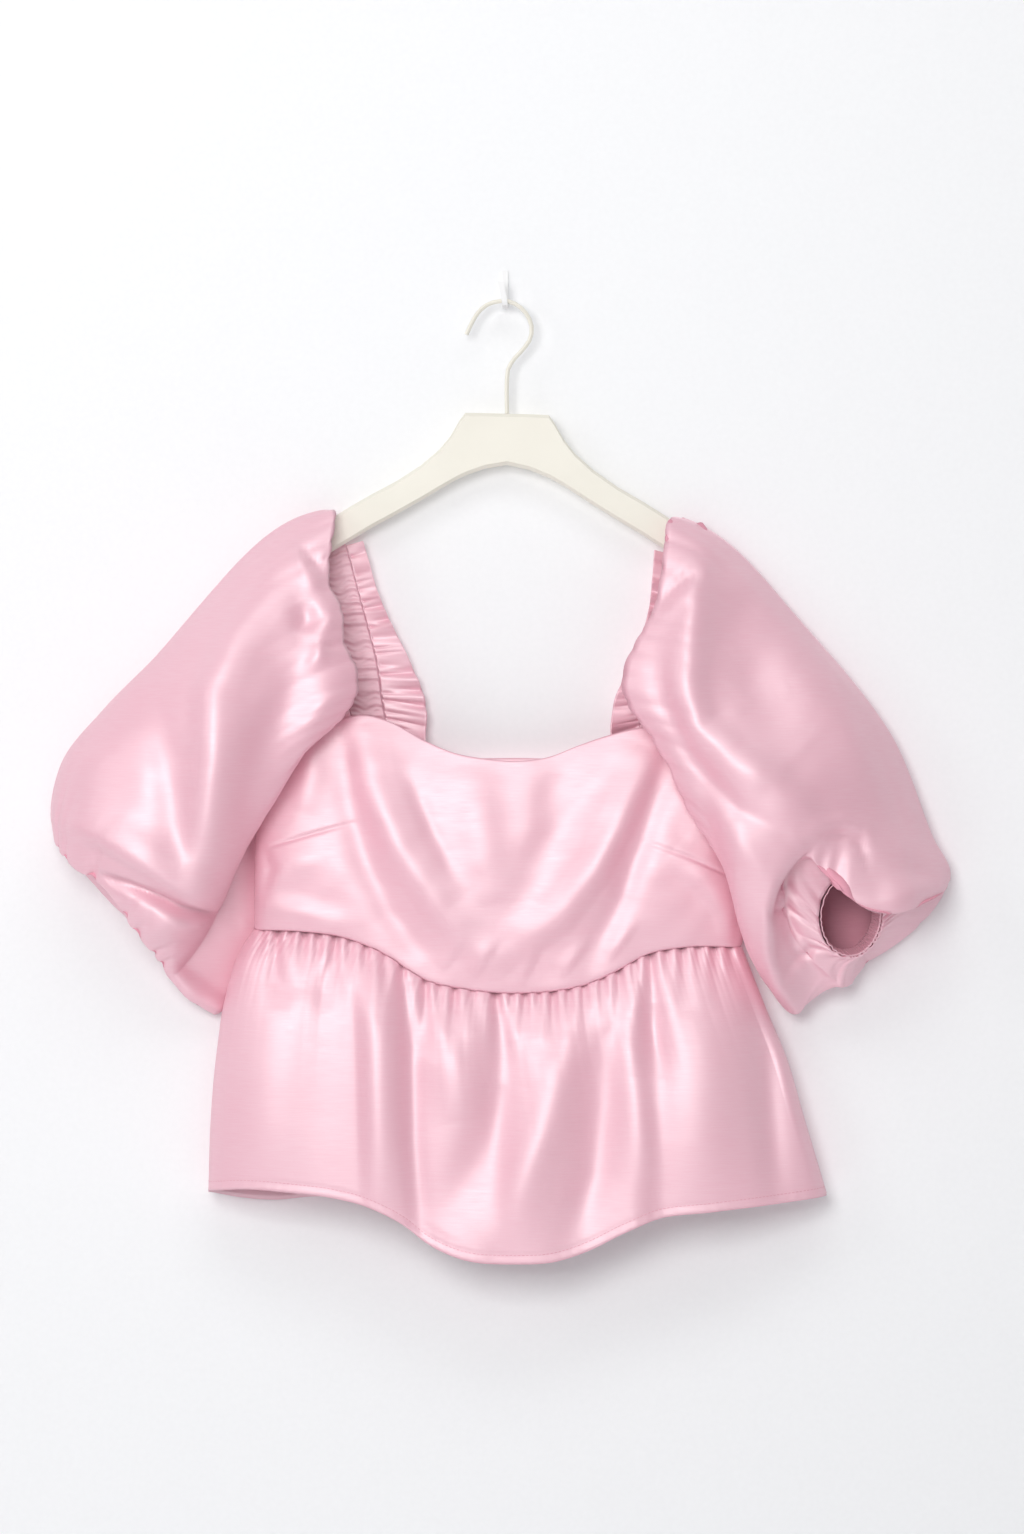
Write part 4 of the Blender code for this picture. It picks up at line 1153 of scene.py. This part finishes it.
def sew(piece, grid, closed, material, side="", sewn=(), back=None):
    """Cloth piece through a grid, in place of the CAD node that its line in the table of pieces names."""
    node, slot, flat, held = PIECES[piece]
    ending = "_" + side if side else ""
    obj = add_cloth(piece + ending, grid, closed)
    obj.data.materials.append(material)
    if back is not None:
        obj.data.materials.append(back)
        obj.modifiers["thickness"].material_offset = 1
    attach(obj, "root")
    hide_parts(node + ending)


def seam_rounding(grid, row_end):
    """How far the cloth dips as it turns in at a seam on its first or last row."""
    edge = grid[row_end]
    distance = np.linalg.norm(grid - edge[None], axis=2)
    return -SEAM_DIP * np.exp(-distance / SEAM_DIP_REACH)


def bodice_shell(top, waist, front, columns, rows):
    grid = bodice_grid(top, waist, front, columns, rows)
    normals = outward(grid, False)
    inset = np.clip((1 - np.abs(places_across(columns))) / 0.05, 0, 1)
    move = crease_field(grid, BODICE_CREASES)
    move = move + 0.5 * rumple(grid, 70.0, 1.0)
    if not front:
        move = -move * 0.5
    move = move * inset + seam_rounding(grid, 0) * (1 if front else -1)
    if not front:
        strip = np.linspace(0, 1, rows + 1)[:, None] ** 6
        along = np.linspace(0, 1, columns + 1)
        ridges = 0.5 + 0.5 * np.cos(2 * math.pi * BACK_RIDGES * along)
        move = move + BACK_RIDGE * strip * ridges * uneven(along, 2.0)
    return grid + normals * move[..., None]


def peplum_shell(waist, hem, front, columns, rows, folds):
    place = places_across(columns)
    shares = np.linspace(0, 1, rows + 1) ** 1.35
    sizes = table(PEPLUM_ROWS)
    inset = np.clip((1 - np.abs(place)) / 0.05, 0, 1)
    top_x = between(sizes[0, 1], sizes[0, 2], place)
    hem_x = between(sizes[-1, 1], sizes[-1, 2], place)
    top = edge_height(waist, top_x) - SEAM_GAP
    bottom = edge_height(hem, hem_x)
    along = (place + 1) / 2
    grid = []
    for share in shares:
        left, right, front_y = smooth(sizes[:, 0], sizes[:, 1:], share)
        far = front_y if front else BACK_Y + 2.0 * share
        x, y = half_ring(place, left, right, far, SEAM_GAP / 2)
        forward = fold_relief(folds, place, share, left, right) * FOLD_SHARE
        distance = share * (top - bottom)
        for gather_x, drift, depth, width, reach in table(WAIST_GATHERS):
            reach = reach * GATHER_REACH
            middle = gather_x + drift * distance / reach
            spread = GATHER_WIDTH * width * (1 + 2.2 * distance / reach)
            fade = np.clip(1 - distance / reach, 0, 1) ** 1.2
            forward = forward - GATHER_GAIN * depth * fade * np.exp(-(((x - middle) / spread) ** 2))
        pucker = PUCKER * gather_wave(along, PUCKERS, 3.0) * np.exp(-distance / PUCKER_REACH)
        gathered = SOFT_GATHER * gather_wave(along, SOFT_GATHERS, 6.0) * np.exp(-distance / SOFT_REACH)
        hem_wave = HEM_WAVE * np.sin(along * 2 * math.pi * HEM_WAVES) * uneven(along, 1.0)
        hem_wave = hem_wave * np.exp(-(1 - share) * 40)
        forward = (forward + pucker + gathered + hem_wave) * inset
        forward = forward - SEAM_DIP * np.exp(-distance / SEAM_DIP_REACH)
        forward = forward - HEM_GROOVE * np.exp(-(((top - bottom) * (1 - share) - HEM_DEPTH) ** 2))
        if not front:
            forward = np.clip(forward, -4.0, 4.0)
        grid.append(np.stack([x, y - forward, top + (bottom - top) * share], axis=1))
    grid = np.array(grid)
    grid[..., 1] -= crease_field(grid, PEPLUM_CREASES) * inset * (1 if front else 0.4)
    return grid


def strap_shell(side):
    shares = np.linspace(0, 1, STRAP_DETAIL + 1)
    neck, sleeve, _ = strap_edges(side, shares)
    across = np.linspace(0, 1, 25)[:, None, None]
    grid = neck + (sleeve - neck) * across
    normals = outward(grid, False, grid.mean(axis=(0, 1)))
    ridge = gather_wave(shares, STRAP_RIDGES, 1.0 if side == "left" else 4.0)[None, :]
    second = gather_wave(shares + 0.006 * np.sin(across[..., 0] * 9), STRAP_RIDGES + 21, 2.0)
    return grid + normals * (1.0 + STRAP_RIDGE * ridge + STRAP_FINE_RIDGE * second)[..., None]


def frill_shell(side):
    sign = -1 if side == "left" else 1
    sizes = table(FRILL_ROWS[side])
    steps = np.linspace(0, 1, 260)
    _, _, knots = strap_edges(side, np.array([0.0, 1.0]))
    start = knots[-len(table(STRAP_BACK_ROWS[side]))]
    neck, _, _ = strap_edges(side, start + (0.985 - start) * steps)
    width, depth = smooth(sizes[:, 0], sizes[:, 1:], steps).T
    seed = 1.0 if side == "left" else 3.0
    phase = FRILL_WAVES * steps + 0.34 * np.sin(2 * math.pi * 2.3 * steps + seed)
    wave = np.sin(2 * math.pi * phase) + 0.25 * np.sin(4 * math.pi * phase + 0.8)
    wave = wave * (0.25 + 0.4 * uneven(steps, seed))
    fine = gather_wave(steps, FRILL_GATHERS, 2.0)
    curl = FRILL_CURL * np.clip((steps - 0.78) / 0.22, 0, 1) ** 1.5
    grid = []
    for share in np.linspace(0, 1, 20):
        line = neck.copy()
        line[:, 0] -= sign * (SEAM_GAP + 0.1 + width * share * (1 + 0.02 * wave) - 0.7 * curl * share**2)
        gathered = FRILL_DEPTH * fine * min(share / 0.08, 1.0) * math.exp(-share * 1.9)
        line[:, 1] -= depth * wave * share**1.2 + 2.5 * share + gathered + curl * share**2
        line[:, 2] += width * share * (0.25 - 0.5 * steps**2)
        grid.append(line)
    return np.array(grid)


def sleeve_shell(side):
    rings = sleeve_rings(side)
    steps = [np.mean(np.linalg.norm(b - a, axis=1)) for a, b in zip(rings, rings[1:])]
    knots = np.concatenate([[0.0], np.cumsum(steps)])
    places = [knots[0]]
    for index, step in enumerate(steps):
        count = max(2, round(step / SLEEVE_STEP))
        places += list(np.linspace(knots[index], knots[index + 1], count + 1)[1:])
    places = np.array(places)
    stack = np.array(rings).reshape(len(rings), -1)
    grid = smooth(knots, stack, places).reshape(-1, RING_COLUMNS, 3)
    relaxed = np.clip((places - knots[LIP_RING]) / 10.0, 0, 1)
    relaxed = relaxed * np.clip((knots[MIDDLE_SECTION] - places) / 20.0, 0, 1)
    for _ in range(round(2 * (RELAX_LENGTH / SLEEVE_STEP) ** 2)):
        middle = (grid[:-2] + grid[2:]) / 2
        grid[1:-1] += 0.5 * relaxed[1:-1, None, None] * (middle - grid[1:-1])
    centre = grid.mean(axis=(0, 1))
    normals = grid_normals(grid, True)
    body = (places > knots[FIRST_SECTION]) & (places < knots[LAST_SECTION])
    normals = normals * np.sign(np.sum(normals[body] * (grid[body] - centre)))
    place = np.arange(RING_COLUMNS) / RING_COLUMNS
    column = place * FULL_RING
    in_front = np.clip(np.minimum(column, FRONT_SPAN - column) / 3.0, 0, 1)
    behind = np.clip(np.minimum(column - FRONT_SPAN, FULL_RING - column) / 3.0, 0, 1)
    creases = crease_field(grid, SLEEVE_CREASES[side])
    # Between the roll at the shoulder and the brim, the creases are at their full height.
    strength = np.clip((places - knots[LIP_RING]) / 30.0, 0, 1)
    strength = strength * np.clip((knots[BRIM_RING] - places) / 12.0, 0, 1)
    forward = normals + np.array([0.0, -CREASE_FACING, 0.0]) * in_front[None, :, None]
    forward = forward / np.linalg.norm(forward, axis=2, keepdims=True)
    pressed = grid + forward * (creases * strength[:, None] * in_front[None, :])[..., None]
    # Against the wall the cloth is pressed flat, so its creases only run inwards.
    move = -0.35 * np.abs(creases) * strength[:, None] * behind[None, :]
    rise = np.clip((places - knots[0]) / 12.0, 0, 1)
    from_lip = np.maximum(places - knots[LIP_RING], 0.0)
    shoulder = rise * np.exp(-((from_lip / SHOULDER_REACH) ** 1.3))
    gathers = gather_wave(place, SHOULDER_GATHERS, 1.0 if side == "left" else 2.6)
    move = move + SHOULDER_DEPTH * shoulder[:, None] * (gathers * np.clip(in_front + 0.35, 0, 1))[None, :]
    to_brim = np.abs(places - knots[TURNED_RING])
    mouth = np.exp(-((to_brim / MOUTH_REACH) ** 1.4))
    gathers = gather_wave(place, MOUTH_GATHERS, 4.4 if side == "left" else 0.7)
    move = move + MOUTH_DEPTH * mouth[:, None] * (gathers * np.clip(in_front + 0.3, 0, 1))[None, :]
    to_cuff = np.exp(-((knots[CUFF_RING] - places) / CUFF_REACH))
    move = move + CUFF_DEPTH * to_cuff[:, None] * gather_wave(place, CUFF_GATHERS, 1.9)[None, :]
    move = move + 0.7 * rumple(grid, 95.0, 2.0) * (strength[:, None] * in_front[None, :])
    grid = pressed + normals * move[..., None]
    # The cloth never goes behind the wall.
    grid[..., 1] = np.minimum(grid[..., 1], WALL_CLEARANCE)
    return grid


def cuff_shell(side):
    shares = np.linspace(0, 1, 16)
    lines = np.array([cuff_ring(side, CUFF_LENGTH * share) for share in shares])
    centre = lines.mean(axis=(0, 1))
    normals = outward(lines, True, centre)
    place = np.arange(RING_COLUMNS) / RING_COLUMNS
    ridge = gather_wave(place, CUFF_RIDGES, 1.0)[None, :]
    channels = np.cos(2 * math.pi * CUFF_CHANNELS * shares)[:, None]
    return lines + normals * (0.6 + CUFF_RIDGE * ridge + 0.25 * channels)[..., None]


def principled(name):
    material = bpy.data.materials.new(name)
    material.use_nodes = True
    tree = material.node_tree
    return material, tree, tree.nodes["Principled BSDF"]


def value_range(tree, source, low, high):
    """Value from low to high, as a noise goes through the middle of its range."""
    node = tree.nodes.new("ShaderNodeMapRange")
    node.inputs["From Min"].default_value = 0.3
    node.inputs["From Max"].default_value = 0.7
    node.inputs["To Min"].default_value = low
    node.inputs["To Max"].default_value = high
    tree.links.new(source, node.inputs["Value"])
    return node.outputs["Result"]


def noise(tree, scale, detail=3.0, stretch=(1.0, 1.0, 1.0)):
    coordinates = tree.nodes.new("ShaderNodeTexCoord")
    mapping = tree.nodes.new("ShaderNodeMapping")
    mapping.inputs["Scale"].default_value = stretch
    texture = tree.nodes.new("ShaderNodeTexNoise")
    texture.inputs["Scale"].default_value = scale
    texture.inputs["Detail"].default_value = detail
    tree.links.new(coordinates.outputs["Object"], mapping.inputs["Vector"])
    tree.links.new(mapping.outputs["Vector"], texture.inputs["Vector"])
    return texture.outputs["Fac"]


def mixed_colour(tree, share, first, second):
    node = tree.nodes.new("ShaderNodeMix")
    node.data_type = "RGBA"
    node.inputs["A"].default_value = (*first, 1.0)
    node.inputs["B"].default_value = (*second, 1.0)
    tree.links.new(share, node.inputs["Factor"])
    return node.outputs["Result"]


def combined(tree, operation, first, second):
    node = tree.nodes.new("ShaderNodeMath")
    node.operation = operation
    tree.links.new(first, node.inputs[0])
    tree.links.new(second, node.inputs[1])
    return node.outputs["Value"]


def add_bump(tree, shader, height, strength, distance):
    bump = tree.nodes.new("ShaderNodeBump")
    bump.inputs["Strength"].default_value = strength
    bump.inputs["Distance"].default_value = distance
    tree.links.new(height, bump.inputs["Height"])
    tree.links.new(bump.outputs["Normal"], shader.inputs["Normal"])


def satin_material(name, pale, deep, roughness, shine):
    """Heavy satin: fine cross threads with slubs, and a broad soft shine along the threads."""
    material, tree, shader = principled(name)
    slub = noise(tree, 1.0, 4.0, (60.0, 60.0, 1400.0))
    cloud = noise(tree, 9.0, 2.0)
    threads = noise(tree, 1.0, 2.0, (900.0, 900.0, 2600.0))
    share = combined(tree, "ADD", value_range(tree, slub, 0.0, 0.6), value_range(tree, cloud, 0.0, 0.4))
    tree.links.new(mixed_colour(tree, share, pale, deep), shader.inputs["Base Color"])
    tree.links.new(value_range(tree, slub, roughness - 0.03, roughness + 0.04), shader.inputs["Roughness"])
    add_bump(tree, shader, combined(tree, "ADD", slub, threads), 0.12, 0.0004)
    shader.inputs["IOR"].default_value = shine
    shader.inputs["Specular IOR Level"].default_value = 0.75
    shader.inputs["Specular Tint"].default_value = (1.0, 0.95, 0.96, 1.0)
    shader.inputs["Sheen Weight"].default_value = 0.08
    shader.inputs["Sheen Roughness"].default_value = 0.4
    shader.inputs["Sheen Tint"].default_value = (1.0, 0.88, 0.91, 1.0)
    shader.inputs["Anisotropic"].default_value = 0.3
    tangent = tree.nodes.new("ShaderNodeTangent")
    tangent.direction_type = "UV_MAP"
    tangent.uv_map = "threads"
    tree.links.new(tangent.outputs["Tangent"], shader.inputs["Tangent"])
    return material


def hard_material(name, pale, deep, roughness, grain, metallic=0.0):
    """Painted or moulded surface with a faint grain and slightly uneven shine."""
    material, tree, shader = principled(name)
    cloud = noise(tree, 14.0, 3.0)
    fine = noise(tree, grain, 3.0)
    colour = mixed_colour(tree, value_range(tree, cloud, 0.0, 1.0), pale, deep)
    tree.links.new(colour, shader.inputs["Base Color"])
    tree.links.new(value_range(tree, fine, roughness - 0.05, roughness + 0.06), shader.inputs["Roughness"])
    add_bump(tree, shader, fine, 0.1, 0.0002)
    shader.inputs["Metallic"].default_value = metallic
    return material


def build_cloth():
    satin = satin_material("pink_satin", SATIN_PALE, SATIN_DEEP, SATIN_ROUGHNESS, SATIN_SHINE)
    elastic = satin_material("pink_shirred", SHIRRED_PALE, SHIRRED_DEEP, SHIRRED_ROUGHNESS, SATIN_SHINE)
    # The reverse is matte like a satin's back. Its darker colours are painted shade for the sleeves'
    # insides.
    reverse_with_painted_shade = satin_material("pink_reverse_painted_shade", REVERSE_PAINTED_SHADE_PALE, REVERSE_PAINTED_SHADE_DEEP, REVERSE_ROUGHNESS, REVERSE_SHINE)
    thread = hard_material("pink_thread", THREAD_PALE, THREAD_DEEP, 0.5, 2400.0)
    sew("bodice_front", bodice_shell(FRONT_TOP, FRONT_WAIST, True, 220, 120), False, satin)
    sew("bodice_back", bodice_shell(BACK_TOP, BACK_WAIST, False, 200, 70), False, satin)
    grid = peplum_shell(FRONT_WAIST, FRONT_HEM, True, 410, 118, PEPLUM_FOLDS)
    sew("peplum_front", grid, False, satin, sewn=[add_stitches("hem_stitches_front", grid, thread)])
    grid = peplum_shell(BACK_WAIST, BACK_HEM, False, 360, 80, BACK_FOLDS)
    sew("peplum_back", grid, False, satin, sewn=[add_stitches("hem_stitches_back", grid, thread)])
    for side in ("left", "right"):
        # The left shell's faces look inwards, so its two sides change places. That keeps the reverse, matte
        # like a satin back and darker with painted shade, on the inside of each sleeve.
        front, back = (satin, reverse_with_painted_shade) if side == "right" else (reverse_with_painted_shade, satin)
        sew("puff", sleeve_shell(side), True, front, side, back=back)
        sew("band", strap_shell(side), False, elastic, side)
        sew("ruffle", frill_shell(side), False, satin, side)
        sew("elastic", cuff_shell(side), True, elastic, side)


def build_hard():
    finishes = {
        "hanger": hard_material("cream_satin_paint", CREAM_PALE, CREAM_DEEP, 0.5, 700.0),
        "hanger_hook": hard_material("cream_coated_wire", CREAM_PALE, CREAM_DEEP, 0.38, 900.0, 0.15),
        "wall_hook": hard_material("white_coating", HOOK_PALE, HOOK_DEEP, 0.4, 900.0),
    }
    for node, material in finishes.items():
        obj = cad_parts[node]
        obj.data.materials.clear()
        obj.data.materials.append(material)


def add_plane(name, centre, width, height, standing):
    mesh = bpy.data.meshes.new(name)
    half_x, half = width / 2, height / 2
    corners = [(-half_x, -half), (half_x, -half), (half_x, half), (-half_x, half)]
    if standing:
        points = [(centre[0] + x, centre[1], centre[2] + z) for x, z in corners]
    else:
        points = [(centre[0] + x, centre[1] + y, centre[2]) for x, y in corners]
    mesh.from_pydata(points, [], [(0, 1, 2, 3)])
    return add_object(name, mesh)


def build_stage():
    wall_material, tree, shader = principled("pale_wall")
    plaster = noise(tree, 220.0, 4.0)
    shade = mixed_colour(tree, value_range(tree, plaster, 0.0, 1.0), WALL_PALE, WALL_DEEP)
    tree.links.new(shade, shader.inputs["Base Color"])
    shader.inputs["Roughness"].default_value = 0.9
    shader.inputs["Specular IOR Level"].default_value = 0.1
    # Seen from behind, the wall is clear, and it lets the light behind it through to the garment's back.
    geometry = tree.nodes.new("ShaderNodeNewGeometry")
    rays = tree.nodes.new("ShaderNodeLightPath")
    either = combined(tree, "MAXIMUM", geometry.outputs["Backfacing"], rays.outputs["Is Shadow Ray"])
    clear = tree.nodes.new("ShaderNodeBsdfTransparent")
    mix = tree.nodes.new("ShaderNodeMixShader")
    tree.links.new(either, mix.inputs["Fac"])
    tree.links.new(shader.outputs["BSDF"], mix.inputs[1])
    tree.links.new(clear.outputs["BSDF"], mix.inputs[2])
    tree.links.new(mix.outputs["Shader"], tree.nodes["Material Output"].inputs["Surface"])
    wall = add_plane("wall", (0.0, 0.0006, -0.4), WALL_SIZE, WALL_SIZE, True)
    wall.data.materials.append(wall_material)
    floor_material, tree, shader = principled("pale_floor")
    grain = noise(tree, 60.0, 3.0)
    shade = mixed_colour(tree, value_range(tree, grain, 0.0, 1.0), FLOOR_PALE, FLOOR_DEEP)
    tree.links.new(shade, shader.inputs["Base Color"])
    shader.inputs["Roughness"].default_value = 0.8
    floor = add_plane("floor", (0.0, -2.0, FLOOR_Z), 12.0, 12.0, False)
    floor.data.materials.append(floor_material)


def add_light(name, position, target, size, power, colour):
    data = bpy.data.lights.new(name, "AREA")
    data.shape = "RECTANGLE"
    data.size, data.size_y = size
    data.energy = power
    data.color = colour
    aim(add_object(name, data), position, target)


def aim(obj, position, target):
    obj.location = position
    way = np.array(target, float) - np.array(position, float)
    flat = math.hypot(way[0], way[1])
    tilt = math.atan2(way[2], flat)
    turn = math.atan2(way[1], way[0])
    obj.rotation_euler = (math.pi / 2 + tilt, 0.0, turn - math.pi / 2)


def build_light():
    for name, position, target, size, power, colour in LIGHTS:
        add_light(name, position, target, size, power, colour)
    world = bpy.data.worlds.new("studio")
    world.use_nodes = True
    background = world.node_tree.nodes["Background"]
    background.inputs["Color"].default_value = (0.96, 0.975, 1.0, 1.0)
    background.inputs["Strength"].default_value = WORLD_STRENGTH
    bpy.context.scene.world = world
    bpy.context.scene.view_settings.view_transform = "Standard"


def build_camera():
    data = bpy.data.cameras.new("camera")
    data.sensor_fit = "VERTICAL"
    data.sensor_height = 36.0
    height = PICTURE[1] * MM_PER_PIXEL * MM
    data.lens = data.sensor_height * CAMERA_DISTANCE / height
    x, z = placed([(PICTURE[0] / 2, PICTURE[1] / 2)])[0] * MM
    obj = add_object("camera", data)
    aim(obj, (x, CAMERA_PLANE_Y - CAMERA_DISTANCE, z), (x, 0.0, z))
    bpy.context.scene.camera = obj


build_camera()
build_cloth()
build_hard()
build_stage()
build_light()
